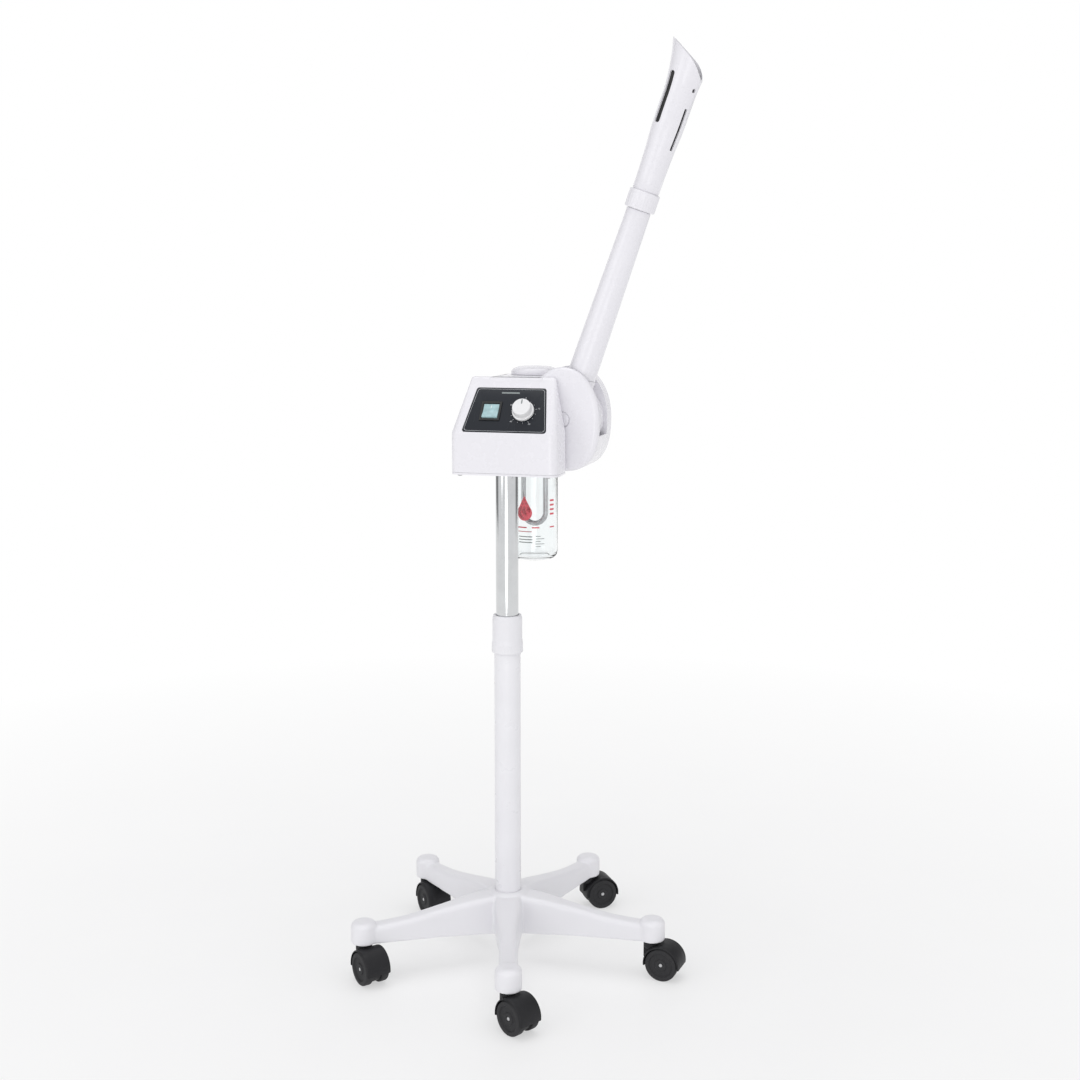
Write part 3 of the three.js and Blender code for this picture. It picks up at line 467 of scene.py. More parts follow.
def film(name):
    """The panel's black polyester film: nearly flat, with fine dust and faint wiping marks."""
    m = Nodes(name)
    dust = m.noise(3200, 2)
    wipes = m.noise(70, 5, (1, 0.2, 0.2), 0.6)
    m.feed(
        colour=m.blend(m.spread(dust, 0, 0.25, (0.66, 0.8)), (0.011, 0.014, 0.02), (0.08, 0.085, 0.095)),
        rough=m.spread(wipes, 0.16, 0.3),
        normal=m.bump(m.noise(220, 2), 0.08, 0.05),
    )
    m.set(ior=1.52, specular_ior_level=0.32)
    return m.material


def painted_glow_plastic(name, colour, glow):
    """Translucent coloured plastic with a painted glow: its own colour is also emitted, though no lamp stands
    behind it.
    """
    m = Nodes(name)
    cloud = m.noise(140, 3)
    colours = m.blend(m.spread(cloud, 0, 1, (0.35, 0.65)), colour, tuple(min(1, c * 1.25) for c in colour))
    m.feed(
        colour=colours,
        rough=m.spread(m.noise(400, 3), 0.16, 0.26),
        normal=m.bump(m.noise(900, 2), 0.2, 0.03),
    )
    # painted glow: the colour feeds the emission, so the plastic shines without a lamp
    m.tree.links.new(colours, m.shader.inputs["Emission Color"])
    m.set(emission_strength=glow, ior=1.5)
    return m.material


def clear_glass(name):
    m = Nodes(name)
    waves = m.noise(35, 2)
    drops = m.noise(260, 5, roughness=0.7)
    m.feed(
        colour=m.blend(m.spread(waves, 0, 1), (0.97, 0.985, 0.985), (0.94, 0.965, 0.97)),
        rough=m.spread(drops, 0.0, 0.09, (0.5, 0.8)),
        normal=m.bump(waves, 0.12, 0.5),
    )
    m.set(transmission_weight=1.0, ior=1.46)
    return m.material


def ink(name, colour):
    m = Nodes(name)
    faded = tuple(min(1, c * 0.85 + 0.05) for c in colour)
    m.feed(
        colour=m.blend(m.spread(m.noise(900, 3), 0, 1), colour, faded),
        rough=m.spread(m.noise(1500, 2), 0.35, 0.5),
        normal=m.bump(m.noise(2500, 1), 0.2, 0.02),
    )
    return m.material


def circuit_green(name):
    m = Nodes(name)
    bricks = {"Vector": m.place, "Scale": 90.0, "Mortar Size": 0.012}
    tracks = m.add("ShaderNodeTexBrick", bricks).outputs["Fac"]
    m.feed(
        colour=m.blend(tracks, (0.03, 0.16, 0.07), (0.09, 0.32, 0.14)),
        rough=m.spread(m.noise(500, 3), 0.3, 0.5),
        normal=m.bump(tracks, 0.3, 0.05),
    )
    return m.material


SHELL = moulded("white_shell", (0.80, 0.79, 0.83), 0.27, coat=0.25)
BASE = moulded("white_base", (0.80, 0.795, 0.825), 0.36, grain=1400, depth=0.03, soil=0.04)
PAINT = powder_coat("white_paint", (0.82, 0.815, 0.845))
CHROME = metal("chrome_tube", (0.67, 0.68, 0.69), 0.13, (1, 1, 0.03), 700, 0.01, 0.04)
BLACK = glass_filled("caster_black", (0.011, 0.011, 0.013), 0.46)
TREAD = glass_filled("caster_tread", (0.022, 0.022, 0.024), 0.6, 0.4)
STEEL = metal("steel_pin", (0.55, 0.55, 0.56), 0.3, (1, 1, 14), 240, 0.03, anisotropic=0.4)
BUSH = glass_filled("bush_black", (0.03, 0.03, 0.03), 0.5)
ALLOY = cast_alloy("cast_alloy")
FILM = film("panel_black")
# the rocker carries a faint painted glow
TEAL = painted_glow_plastic("rocker_teal", (0.30, 0.44, 0.46), 0.1)
KNOB_WHITE = moulded("knob_white", (0.80, 0.80, 0.81), 0.24, grain=1600, depth=0.02, soil=0.03, coat=0.3)
CLOCKWORK = moulded("clockwork", (0.6, 0.6, 0.57), 0.5)
BOARD = circuit_green("board_green")
SEAL = moulded("seal_grey", (0.16, 0.16, 0.165), 0.75, grain=1800, depth=0.08)
GLASS = clear_glass("jar_glass")
DUCT = moulded("duct_ivory", (0.66, 0.63, 0.55), 0.5)
RED_INK = ink("red_ink", (0.72, 0.10, 0.13))
GREY_INK = ink("grey_ink", (0.24, 0.27, 0.27))
PALE_INK = ink("pale_ink", (0.55, 0.56, 0.58))

# ---------------------------------------------------------------- star base

leg_lines = [caster.translation - COLUMN.translation for caster in CASTERS]
LEG_LENGTH = leg_lines[0].length / MM
LEG_TOP = [(0, 107), (20, 107), (56, 104), (105, 96), (165, 86), (230, 82)]
LEG_HALF_WIDTH = [(0, 21), (20, 21), (45, 20), (80, 16.8), (120, 14), (230, 14)]
BAY_TOP = [(44, 101), (105, 92), (165, 82), (203, 79)]
BAYS = [(44, 118), (121, 203)]


def value_at(x, points):
    """The height at x of a line through points."""
    for (x0, v0), (x1, v1) in zip(points, points[1:]):
        if x <= x1:
            return v0 + (v1 - v0) * (x - x0) / (x1 - x0)
    return points[-1][1]


def leg_section(x):
    """The leg's cross-section at a distance from the column: a rounded top on straight sides."""
    low = value_at(x, [(40, 48), (LEG_LENGTH, 56.4)])
    half = value_at(x, through(LEG_HALF_WIDTH))
    top = value_at(x, through(LEG_TOP))
    outline = rounded(rectangle(-half, half, low, top), [1.2, 1.2, 8, 8], 6)
    return [(x, y, z) for y, z in outline]


def star_base():
    hub = [(0, 48), (38, 48), (38, 92), (35, 101), (29, 108), (25, 110), (0, 110)]
    base = lathe("star_base_skin", rounded(hub, [0, 1.5, 6, 6, 5, 3, 0], 4, False), COLUMN, closed=False)
    boss = [(0, 56.4), (19.4, 56.4), (19.4, 84), (16.5, 88), (11.5, 90), (0, 90)]
    places = [COLUMN @ Matrix.Rotation(math.atan2(line.y, line.x), 4, "Z") for line in leg_lines]
    tip = Matrix.Translation((LEG_LENGTH * MM, 0, 0))
    parts = []
    for place in places:
        sections = [leg_section(x) for x in range(4, round(LEG_LENGTH) + 3, 9)]
        parts.append(loft("leg", sections, place))
        parts.append(lathe("boss", rounded(boss, [0, 1.2, 5, 4, 6, 0], 4, False), place @ tip, 48, False))
    join(base, *parts)
    blend_seams(base, 1.5, 10)
    cutters = [rod("socket", 20.3, 61.7, 130, COLUMN)]
    for place in places:
        for near, far in BAYS:
            stations = (near, near + 20, (near + far) / 2, far - 20, far)
            cutters.append(loft("bay", [bay_section(x) for x in stations], place))
        cutters.append(rod("stem_hole", 5.5, 40, 84.5, place @ tip, 32))
        cutters.append(rod("flange_room", 19.6, 40, 56.4, place @ tip, 32))
    cut(base, *cutters)
    return base


def bay_section(x):
    """The hollow under a leg, one wall inside it."""
    top = value_at(x, BAY_TOP)
    half = value_at(x, LEG_HALF_WIDTH) - WALL
    return [(x, y, z) for y, z in rounded(rectangle(-half, half, 40, top), [0, 0, 4, 4], 4)]


def blend_seams(obj, voxel, rounds):
    """Remeshes joined solids and relaxes the result, so that they meet in small fillets."""
    remesh = obj.modifiers.new("remesh", "REMESH")
    remesh.mode = "VOXEL"
    remesh.voxel_size = voxel * MM
    relax = obj.modifiers.new("relax", "SMOOTH")
    relax.factor = 0.5
    relax.iterations = rounds
    bpy.context.view_layer.update()
    return apply(obj)


settle(star_base(), "base", "white_base", BASE, "star_base")

# ---------------------------------------------------------------- casters

TRAIL = 20
WHEEL = 25
AXLE_PLACE = Matrix.Translation((TRAIL * MM, 0, WHEEL * MM)) @ Matrix.Rotation(-math.pi / 2, 4, "X")


def caster_hood():
    """A fender over both wheels, the web between them and the boss round the stem."""
    rim = 28.3
    reach = math.asin((WHEEL - 21) / rim)
    steps = 40
    arc = [-reach + (math.pi + 2 * reach) * k / steps for k in range(steps + 1)]
    # In the axle's frame the local Y axis points down.
    fender_outline = [(rim * math.cos(a), -rim * math.sin(a)) for a in arc]
    fender = prism("hood", fender_outline, -19.8, 19.8, AXLE_PLACE, 2.2)
    web = rod("web", 22, -7, 7, AXLE_PLACE)
    shoulder = block("shoulder", (-11, TRAIL), (-7, 7), (30, 53))
    boss_outline = rounded([(0, 44), (12.4, 44), (12.4, 53.4), (0, 53.4)], [0, 1, 1.5, 0], 3, False)
    join(fender, web, shoulder, lathe("boss", boss_outline, None, 48, False))
    return cut(
        fender,
        rod("pocket", 26.2, 7, 25, AXLE_PLACE),
        rod("pocket", 26.2, -25, -7, AXLE_PLACE),
        rod("stem_hole", 5.3, 34, 60, None, 32),
        rod("axle_hole", 3.3, -30, 30, AXLE_PLACE, 32),
    )


def caster_wheel():
    """One wheel beside the web: a crowned tread, a recessed face and a raised hub."""
    outline = [
        (3.3, 7.3), (25, 7.3), (25, 19.3), (18.6, 19.3), (17.2, 17.2), (9.4, 17.2), (8.4, 18.7), (3.3, 18.7),
    ]
    return lathe("wheel", rounded(outline, [0, 1.6, 2.4, 0.8, 0.8, 0.8, 0.8, 0.3], 4), None, 72)


def copy_of(source, name, matrix):
    obj = bpy.data.objects.new(name, source.data.copy())
    bpy.context.scene.collection.objects.link(obj)
    obj.data.transform(matrix)
    return obj


hood = caster_hood()
wheel = caster_wheel()
stem = lathe("stem", rounded([
    (0, 34.3), (5, 34.3), (5, 54), (8.5, 54), (8.5, 56), (5.2, 56), (5.2, 84), (0, 84),
], [0, 0.5, 0.2, 0.5, 0.5, 0.2, 0.8, 0], 3, False), None, 32, False)
axle_outline = rounded([(0, -18.5), (3, -18.5), (3, 18.5), (0, 18.5)], [0, 1, 1, 0], 3, False)
axle_pin = lathe("axle", axle_outline, None, 32, False)
for number, place in enumerate(CASTERS, 1):
    body = f"caster_{number}"
    turned_over = AXLE_PLACE @ Matrix.Rotation(math.pi, 4, "X")
    settle(copy_of(hood, f"hood_{number}", place), body, "caster_black", BLACK, f"caster_hood_{number}")
    eased(bpy.data.objects[f"hood_{number}"], 0.5)
    settle(copy_of(stem, f"stem_{number}", place), body, "steel_pin", STEEL, f"caster_stem_{number}")
    axle = copy_of(axle_pin, f"axle_{number}", place @ AXLE_PLACE)
    settle(axle, body, "steel_pin", STEEL, f"caster_axle_{number}")
    for side, turn in (("left", AXLE_PLACE), ("right", turned_over)):
        obj = copy_of(wheel, f"wheel_{side}_{number}", place @ turn)
        settle(obj, f"wheel_{side}_{number}", "caster_black", TREAD, f"caster_wheel_{side}_{number}")
for source in (hood, wheel, stem, axle_pin):
    bpy.data.objects.remove(source)

# ---------------------------------------------------------------- column


def pipe(name, outer, inner, low, high, place, soft=0.5):
    outline = rounded([(inner, low), (outer, low), (outer, high), (inner, high)], soft, 3)
    return lathe(name, outline, place, 128)


settle(pipe("lower_tube_skin", 20, 18.5, 62, 508, COLUMN), "base", "white_paint", PAINT, "lower_tube")
settle(pipe("inner_tube_skin", 17, 15.5, 275, 745, MAST), "mast", "chrome_tube", CHROME, "inner_tube")
collar_outline = [
    (20.7, 486), (22.9, 486), (23.7, 487.5), (23.7, 490), (23.7, 498), (23.7, 500), (22.6, 507),
    (22.6, 539), (21.2, 544), (17.6, 544), (17.6, 539), (20.7, 539),
]
collar_radii = [0.3, 0.8, 0.8, 0, 0, 3, 5, 3, 1.5, 0.6, 0.2, 0.2]
collar_grip = (40, 0.45, 490, 498)
collar_line = rounded(collar_outline, collar_radii, 4)
collar = lathe("height_collar_skin", collar_line, COLUMN, 240, True, collar_grip)
settle(collar, "collar", "white_base", BASE, "height_collar")

# ---------------------------------------------------------------- housing

CONSOLE_X = 4
CONSOLE_BACK = 27.5
CONSOLE_TOP = 852
TRAY = (709, 712)
COVER_LOW = TRAY[1] + GAP
TOWER_RADIUS = 46
NECK_X = (BOILER_X - TOWER_RADIUS, BOILER_X + TOWER_RADIUS - 8)
UPRIGHT = Matrix.Rotation(math.pi / 2, 4, "X")  # an outline's Y turns up, and what was up points to -Y
POD_WIDE = 57
POD_HIGH = 78


def console_form(name, front_line, half_line, back, corner, rim):
    """The console as rings of its plan, one for each point up its front line.

    rim is the rounding of the top's other edges."""
    rings = []
    top = front_line[-1][1]
    for y, z in front_line:
        rise = max(0, z - (top - rim))
        inset = rim - math.sqrt(max(rim * rim - rise * rise, 0))
        half = value_at(z, half_line) - inset
        plan = rectangle(CONSOLE_X - half, CONSOLE_X + half, y, back - inset)
        rings.append([(x, y, z) for x, y in rounded(plan, corner, 8)])
    return loft(name, rings, MAST)


def tower_form(name, radius, low, high, rim):
    outline = rounded([(0, low), (radius, low), (radius, high), (0, high)], [0, 0, rim, 0], 6, False)
    return lathe(name, outline, BOILER, 128, False)


def pod_outline(grow=0, count=128):
    """The arm's housing seen from the front: an oval, fuller in its lower half."""
    points = []
    for k in range(count):
        angle = 2 * math.pi * k / count
        power = 2 / (2.6 if math.sin(angle) < 0 else 2.05)
        x = math.copysign(abs(math.cos(angle)) ** power, math.cos(angle))
        z = math.copysign(abs(math.sin(angle)) ** power, math.sin(angle))
        points.append(((POD_WIDE + grow) * x, (POD_HIGH + grow) * z))
    return points


POD = Matrix.Translation(PIVOT) @ UPRIGHT
PIVOT_Y = (PIVOT - MAST.translation).y / MM
POD_FRONT = PIVOT_Y - 28  # distances in front of the pivot, along -Y
POD_BACK = PIVOT_Y - 118
POD_SPLIT = PIVOT_Y - 36.3
DRUM_HALF = 23


def pod_room():
    return prism("pod_room", pod_outline(GAP), -DRUM_HALF - 1.3, PIVOT_Y - CONSOLE_BACK, POD)


def panel_outline(margin):
    """A trapezoid with round corners, drawn on the sloping face."""
    low, high, half = 65 + margin, 53.5 + margin, 38.5 + margin
    return rounded([(-low, -half), (low, -half), (high, half), (-high, half)], 4.5, 8)


def housing_cover():
    front = rounded([(-35, COVER_LOW), (-35, 772), (20, 850), (23, CONSOLE_TOP)], [0, 4, 8, 0], 6, False)
    front = front[:1] + [(-35, z) for z in (730, 750, 766)] + front[1:]
    half = [(700, 82), (770, 82), (849, 66), (855, 64)]
    cover = console_form("housing_cover_skin", front, half, CONSOLE_BACK, 12.5, 3.5)
    neck_plan = rounded(rectangle(*NECK_X, 17.5, BOILER_Y), 2, 4)
    neck = prism("neck", neck_plan, COVER_LOW, CONSOLE_TOP, MAST, 5, 6, "top")
    join(cover, neck, tower_form("tower", TOWER_RADIUS, COVER_LOW, CONSOLE_TOP, 5))
    inside = [(-32, 700), (-32, 765), (-29.7, 768.3), (24.2, 844.7)]
    inner_half = [(x, v - WALL) for x, v in half]
    cut(
        cover,
        console_form("console_room", inside, inner_half, CONSOLE_BACK - WALL, 9.5, 0.1),
        block("neck_room", (NECK_X[0] + WALL, NECK_X[1] - WALL), (20, BOILER_Y), (700, 846), MAST),
        tower_form("tower_room", TOWER_RADIUS - WALL, 700, CONSOLE_TOP - WALL, 3),
        pod_room(),
        prism("panel_recess", panel_outline(GAP), -2.3, 6, PANEL),
        block("switch_room", (-39.5, -11.5), (-17, 12), (-20, 6), PANEL),
        rod("shaft_room", 7, -20, 6, PANEL @ Matrix.Translation((25 * MM, -2.5 * MM, 0))),
        rod("cap_room", 30.2, CONSOLE_TOP - 8, CONSOLE_TOP + 8, BOILER),
        block("inlet_room", (-70, -42), (CONSOLE_BACK - 8, CONSOLE_BACK + 8), (722, 742), MAST),
    )
    return cover


settle(housing_cover(), "head", "white_shell", SHELL, "housing_cover")
eased(bpy.data.objects["housing_cover_skin"], 0.35, 2, 40)

SCREWS = [(-64, -29.5), (72, -29.5), (-37, 22), (72, 22), (-27.5, 62)]


def tray():
    """The floor of the housing, under the console, the neck and the tower."""
    plan = rounded(rectangle(CONSOLE_X - 82, CONSOLE_X + 82, -35, CONSOLE_BACK), 12.5, 8)
    floor = prism("tray", plan, *TRAY, MAST)
    neck = block("neck", NECK_X, (17.5, BOILER_Y), TRAY, MAST)
    join(floor, neck, rod("disc", TOWER_RADIUS, *TRAY, BOILER, 128))
    holes = [rod("tube_hole", 18, 700, 720, MAST), rod("jar_hole", 41.3, 700, 720, BOILER)]
    for x, y in SCREWS:
        holes.append(rod("screw_hole", 2.3, 700, 720, MAST @ Matrix.Translation((x * MM, y * MM, 0)), 24))
    return cut(floor, pod_room(), *holes)


settle(tray(), "head", "white_shell", SHELL, "housing_base")
eased(bpy.data.objects["tray"], 0.5, 2, 40)

cap_outline = [
    (26, 846.3), (29.6, 846.3), (29.6, 852.3), (36, 852.3), (36, 857.3), (33, 861.3),
    (25, 864.2), (14, 865), (3, 865), (3, 862), (14, 862), (26, 860),
]
cap_radii = [0.4, 0.4, 0.2, 0.8, 4, 6, 14, 20, 0.8, 0.2, 1, 1]
tower_cap = lathe("tower_cap_skin", rounded(cap_outline, cap_radii, 5), BOILER, 128)
settle(tower_cap, "head", "white_shell", SHELL, "tower_cap")

# A pan head with a cross recess, under the tray at each screw.
head_points = [(0, 707), (2.6, 707), (3.7, 708.2), (3.7, 708.9), (0, 708.9)]
head_outline = rounded(head_points, [0, 0.8, 0.5, 0.1, 0], 3, False)
for number, (x, y) in enumerate(SCREWS, 1):
    place = MAST @ Matrix.Translation((x * MM, y * MM, 0)) @ Matrix.Rotation(0.7 * number, 4, "Z")
    screw = lathe(f"housing_screw_{number}", head_outline, place, 32, False)
    slot_a = block("slot", (-1.9, 1.9), (-0.35, 0.35), (706, 708.1), place)
    cut(screw, slot_a, block("slot", (-0.35, 0.35), (-1.9, 1.9), (706, 708.1), place))
    settle(screw, "head", "steel_pin", STEEL)

# ---------------------------------------------------------------- controls

panel = prism("control_panel_skin", panel_outline(0), -2, 0, PANEL, 0.4, 3, "top")
cut(
    panel,
    block("switch_hole", (-39.3, -11.7), (-16.8, 11.8), (-5, 5), PANEL),
    rod("shaft_hole", 5, -5, 5, PANEL @ Matrix.Translation((25 * MM, -2.5 * MM, 0)), 48),
)
settle(panel, "head", "panel_black", FILM, "control_panel")

ROCKER_PLACE = PANEL @ Matrix.Translation((-25.5 * MM, -2.5 * MM, 0))
KNOB_PLACE = PANEL @ Matrix.Translation((25 * MM, -2.5 * MM, 0))


def sideways(outline, left, right, matrix, edge):
    """An outline in Y and Z, spanning two values of X."""
    turn = Matrix(((0, 0, 1, 0), (1, 0, 0, 0), (0, 1, 0, 0), (0, 0, 0, 1)))
    return prism("sideways", outline, left, right, matrix @ turn, edge, 3)


ROCKER_TILT = math.radians(-7)
rocker_turn = ROCKER_PLACE @ Matrix.Translation((0, 0, -2 * MM)) @ Matrix.Rotation(ROCKER_TILT, 4, "X")
rocker_points = [(-12, -1), (-6, -5), (6, -5), (12, -1), (12, 4.4), (0, 3.2), (-12, 4.4)]
rocker_side = rounded(rocker_points, [1, 2, 2, 1, 1, 6, 1], 4)
rocker = sideways(rocker_side, -11.9, 11.9, rocker_turn, 0.5)
rocker.name = "power_rocker_skin"
settle(rocker, "rocker", "rocker_teal", TEAL, "power_rocker")

knob_outline = [(0, 1), (16.5, 1), (16.5, 5), (14.5, 6), (13.8, 15.5), (12.6, 16.5), (9.5, 16.2), (0, 16.2)]
knob_radii = [0, 0.6, 1.2, 1.5, 1.2, 1.2, 2, 0]
knob = lathe("timer_knob_skin", rounded(knob_outline, knob_radii, 5, False), KNOB_PLACE, 216, False)
cut(knob, rod("shaft_bore", 3.3, -1, 12, KNOB_PLACE, 32))
settle(knob, "knob", "knob_white", KNOB_WHITE, "timer_knob")
pointer_plan = rounded(rectangle(-0.9, 0.9, 4.5, 12), 0.8, 4)
pointer = prism("knob_pointer", pointer_plan, 16.1, 16.7, KNOB_PLACE, 0.2, 2, "top")
settle(pointer, "knob", "bush_black", GREY_INK)


def printed(name, outlines, matrix, body, look, low=0.02, high=0.12):
    """Flat prints on the panel: one piece made of several thin outlines."""
    bm = bmesh.new()
    for outline in outlines:
        rings = [[bm.verts.new((x, y, z)) for x, y in outline] for z in (low, high)]
        skin(bm, rings)
        bm.faces.new(rings[0])
        bm.faces.new(rings[1])
    return settle(piece_from(name, bm, matrix), body, "panel_black", look)


def turned_mark(radius, length, width, angle):
    """A dial mark pointing outwards at an angle clockwise from the top."""
    corners = rectangle(-width / 2, width / 2, radius, radius + length)
    c, s = math.cos(-angle), math.sin(-angle)
    return [(x * c - y * s, x * s + y * c) for x, y in corners]


dial_angles = [math.radians(25 * k) for k in range(13)]
dial_marks = [turned_mark(18.2, 2.4 if k % 3 == 0 else 1.4, 0.5, a) for k, a in enumerate(dial_angles)]
printed("dial_marks", dial_marks, KNOB_PLACE, "head", PALE_INK)


def dial_number(text, angle):
    """A number of the timer's dial, centred beyond its mark."""
    curve = bpy.data.curves.new("number_" + text, "FONT")
    curve.body = text
    curve.size = 3.6 * MM
    curve.align_x = "CENTER"
    curve.align_y = "CENTER"
    curve.extrude = 0.04 * MM
    holder = bpy.data.objects.new("number_" + text, curve)
    bpy.context.scene.collection.objects.link(holder)
    at = Vector((23.6 * math.sin(angle), 23.6 * math.cos(angle), 0.06)) * MM
    bpy.context.view_layer.update()
    mesh = bpy.data.meshes.new_from_object(holder.evaluated_get(bpy.context.evaluated_depsgraph_get()))
    mesh.transform(KNOB_PLACE @ Matrix.Translation(at))
    obj = bpy.data.objects.new("dial_number_" + text, mesh)
    bpy.context.scene.collection.objects.link(obj)
    bpy.data.objects.remove(holder)
    return settle(obj, "head", "panel_black", PALE_INK)


for text, angle in zip(("0", "15", "30", "45", "60"), dial_angles[::3]):
    dial_number(text, angle)


def frame_line(outer, inner):
    """The border of the panel as one closed band."""
    bm = bmesh.new()
    levels = ((outer, 0.02), (outer, 0.1), (inner, 0.1), (inner, 0.02))
    rings = [[bm.verts.new((x, y, z)) for x, y in line] for line, z in levels]
    skin(bm, rings, True)
    return settle(piece_from("panel_border", bm, PANEL), "head", "panel_black", PALE_INK)


frame_line(panel_outline(-2.2), panel_outline(-2.6))
printed("panel_bar", [rounded(rectangle(-14, 14, 28.5, 31), 1.2, 4)], PANEL, "head", GREY_INK)
rocker_marks = [rectangle(-0.5, 0.5, 4.2, 9.2)]
rocker_face = rocker_turn @ Matrix.Translation((0, 0, 3.75 * MM))
printed("rocker_on_mark", rocker_marks, rocker_face, "rocker", KNOB_WHITE, -0.4, 0.35)

# ---------------------------------------------------------------- boiler and jar

nut_outline = [
    (37.2, 697.5), (44.5, 697.5), (46, 699), (46, 701), (46, 705), (46, 707.1),
    (44.5, 708.6), (41.3, 708.6), (41.3, 699.9), (37.2, 699.9),
]
nut_radii = [0.4, 1, 1, 0, 0, 1, 1, 0.3, 0.1, 0.3]
nut_grip = (36, 0.8, 698.5, 707.6)
jar_nut = lathe("jar_nut_skin", rounded(nut_outline, nut_radii, 4), BOILER, 288, True, nut_grip)
settle(jar_nut, "jar_nut", "white_shell", SHELL, "jar_nut")

JAR_RADIUS = 36.5
jar_outline = [
    (0, 565.6), (22, 565), (25, 564), (31.5, 565.8), (35.2, 570), (36.5, 576), (36.5, 713.2), (33.5, 713.2),
    (33.5, 576), (31.5, 570.5), (25, 567.8), (0, 567.8),
]
jar_radii = [0, 3, 2, 6, 8, 12, 1.2, 1.2, 12, 8, 8, 0]
jar = lathe("glass_jar_skin", rounded(jar_outline, jar_radii, 6, False), BOILER, 128, False)
settle(jar, "jar", "jar_glass", GLASS, "glass_jar")

HEATER_HALF = 18
HEATER_BEND = 636
heater_path = [(-HEATER_HALF, z) for z in (713.3, 690, 660)]
for k in range(25):
    angle = math.pi * (1 + k / 24)
    heater_path.append((HEATER_HALF * math.cos(angle), HEATER_BEND + HEATER_HALF * math.sin(angle)))
heater_path += [(HEATER_HALF, z) for z in (660, 690, 713.3)]


def heater():
    """A bent rod: circles across the heater's line."""
    rings = []
    for x, z in heater_path:
        towards = complex(x, z - HEATER_BEND) if z < HEATER_BEND else complex(x, 0)
        towards /= abs(towards)
        rings.append([(x + a * towards.real, b, z + a * towards.imag) for a, b in circle(4, 24)])
    return loft("heating_element_skin", rings, BOILER)


settle(heater(), "head", "steel_pin", STEEL, "heating_element")


PRINT_TURN = math.radians(6)


def on_jar(name, outlines, look):
    """Prints wrapped round the front of the jar; an outline is in distance round and height."""
    bm = bmesh.new()
    for outline in outlines:
        face = bm.faces.new([bm.verts.new((x, z, 0)) for x, z in outline])
        bmesh.ops.triangulate(bm, faces=[face])
    bmesh.ops.subdivide_edges(bm, edges=bm.edges, cuts=2, use_grid_fill=True)
    front = -math.pi / 2 + PRINT_TURN
    bmesh.ops.solidify(bm, geom=bm.faces[:], thickness=0.12)
    for vert in bm.verts:
        angle = front + vert.co.x / JAR_RADIUS
        radius = JAR_RADIUS + 0.08 + vert.co.z
        vert.co = Vector((radius * math.cos(angle), radius * math.sin(angle), vert.co.y))
    return settle(piece_from(name, bm, BOILER), "jar", "jar_glass", look)


def drop_outline(x, z, radius):
    """A water drop: a round foot and a pointed top."""
    arc = [math.radians(-220 + 260 * k / 24) for k in range(25)]
    return [(x + radius * math.cos(a), z + radius * math.sin(a)) for a in arc] + [(x, z + radius * 2.1)]


drop = drop_outline(-10, 640, 12.5)
bars = [rounded(rectangle(32, 41, z, z + 3), 1, 3) for z in (657, 650, 643, 636)]
level_lines = [rectangle(left, right, 616, 618) for left, right in ((-24, -6), (2, 14), (32, 42))]
on_jar("level_print_red", [drop, *bars, *level_lines, rectangle(-24, 2, 610, 611.2)], RED_INK)
ticks = [rectangle(8, 22 if k % 2 else 16, 603 - 4 * k, 604 - 4 * k) for k in range(5)]
rules = [rectangle(-20, 3, 602 - 4.5 * k, 603.4 - 4.5 * k) for k in range(3)]
on_jar("level_print_grey", [*ticks, *rules], GREY_INK)

# ---------------------------------------------------------------- arm housing


def pod_half(name, front, back):
    """One shell of the arm's housing between two distances in front of the pivot."""
    edge = 8
    arc = [(edge * (1 - math.sin(a)), edge * (1 - math.cos(a))) for a in quarter(8)]
    inner = edge - WALL
    inner_arc = [(WALL + inner * (1 - math.sin(a)), WALL + inner * (1 - math.cos(a))) for a in quarter(8)]
    outline = pod_outline()
    forward = name.endswith("front_skin")
    if forward:
        outer_levels = [(0, back)] + [(i, front - r) for i, r in reversed(arc)]
        inner_levels = [(WALL, back - 5)] + [(i, front - r) for i, r in reversed(inner_arc)]
    else:
        outer_levels = [(i, back + r) for i, r in arc] + [(0, front)]
        inner_levels = [(i, back + r) for i, r in inner_arc] + [(WALL, front + 5)]
    rings = [[(x, y, z) for x, y in shrunk(outline, inset)] for inset, z in outer_levels]
    room = [[(x, y, z) for x, y in shrunk(outline, inset)] for inset, z in inner_levels]
    return cut(loft(name, rings, POD), loft("room", room, POD))


pod_front = pod_half("arm_housing_front_skin", POD_FRONT, POD_SPLIT + GAP)
cut(pod_front, rod("cap_hole", 12.3, POD_FRONT - 8, POD_FRONT + 5, POD))
settle(pod_front, "head", "white_shell", SHELL, "arm_housing_front")
eased(pod_front, 0.35, 2, 40)

NECK_ROOM = 24.5
pod_rear = pod_half("arm_housing_rear_skin", POD_SPLIT - GAP, POD_BACK)
join(pod_rear, prism("bulkhead", pod_outline(-WALL / 2), -DRUM_HALF - 3, -DRUM_HALF - 0.5, POD))
tower_room = rod("tower_room", TOWER_RADIUS + GAP, 600, 1000, BOILER, 128)
behind_drum = block("behind", (-400, 400), (PIVOT_Y + DRUM_HALF + 1, 300), (0, 1200), MAST)
combine(tower_room, [behind_drum], "INTERSECT")
cut(
    pod_rear,
    block("arm_slot", (-NECK_ROOM, 400), (-NECK_ROOM, 400), (-DRUM_HALF - 0.5, 100), POD),
    rod("bulkhead_hole", 12.2, -DRUM_HALF - 7, -DRUM_HALF + 3, POD, 48),
    tower_room,
    rod("plate_room", 42, 600, 722, BOILER, 96),
)
settle(pod_rear, "head", "white_shell", SHELL, "arm_housing_rear")
eased(pod_rear, 0.35, 2, 40)

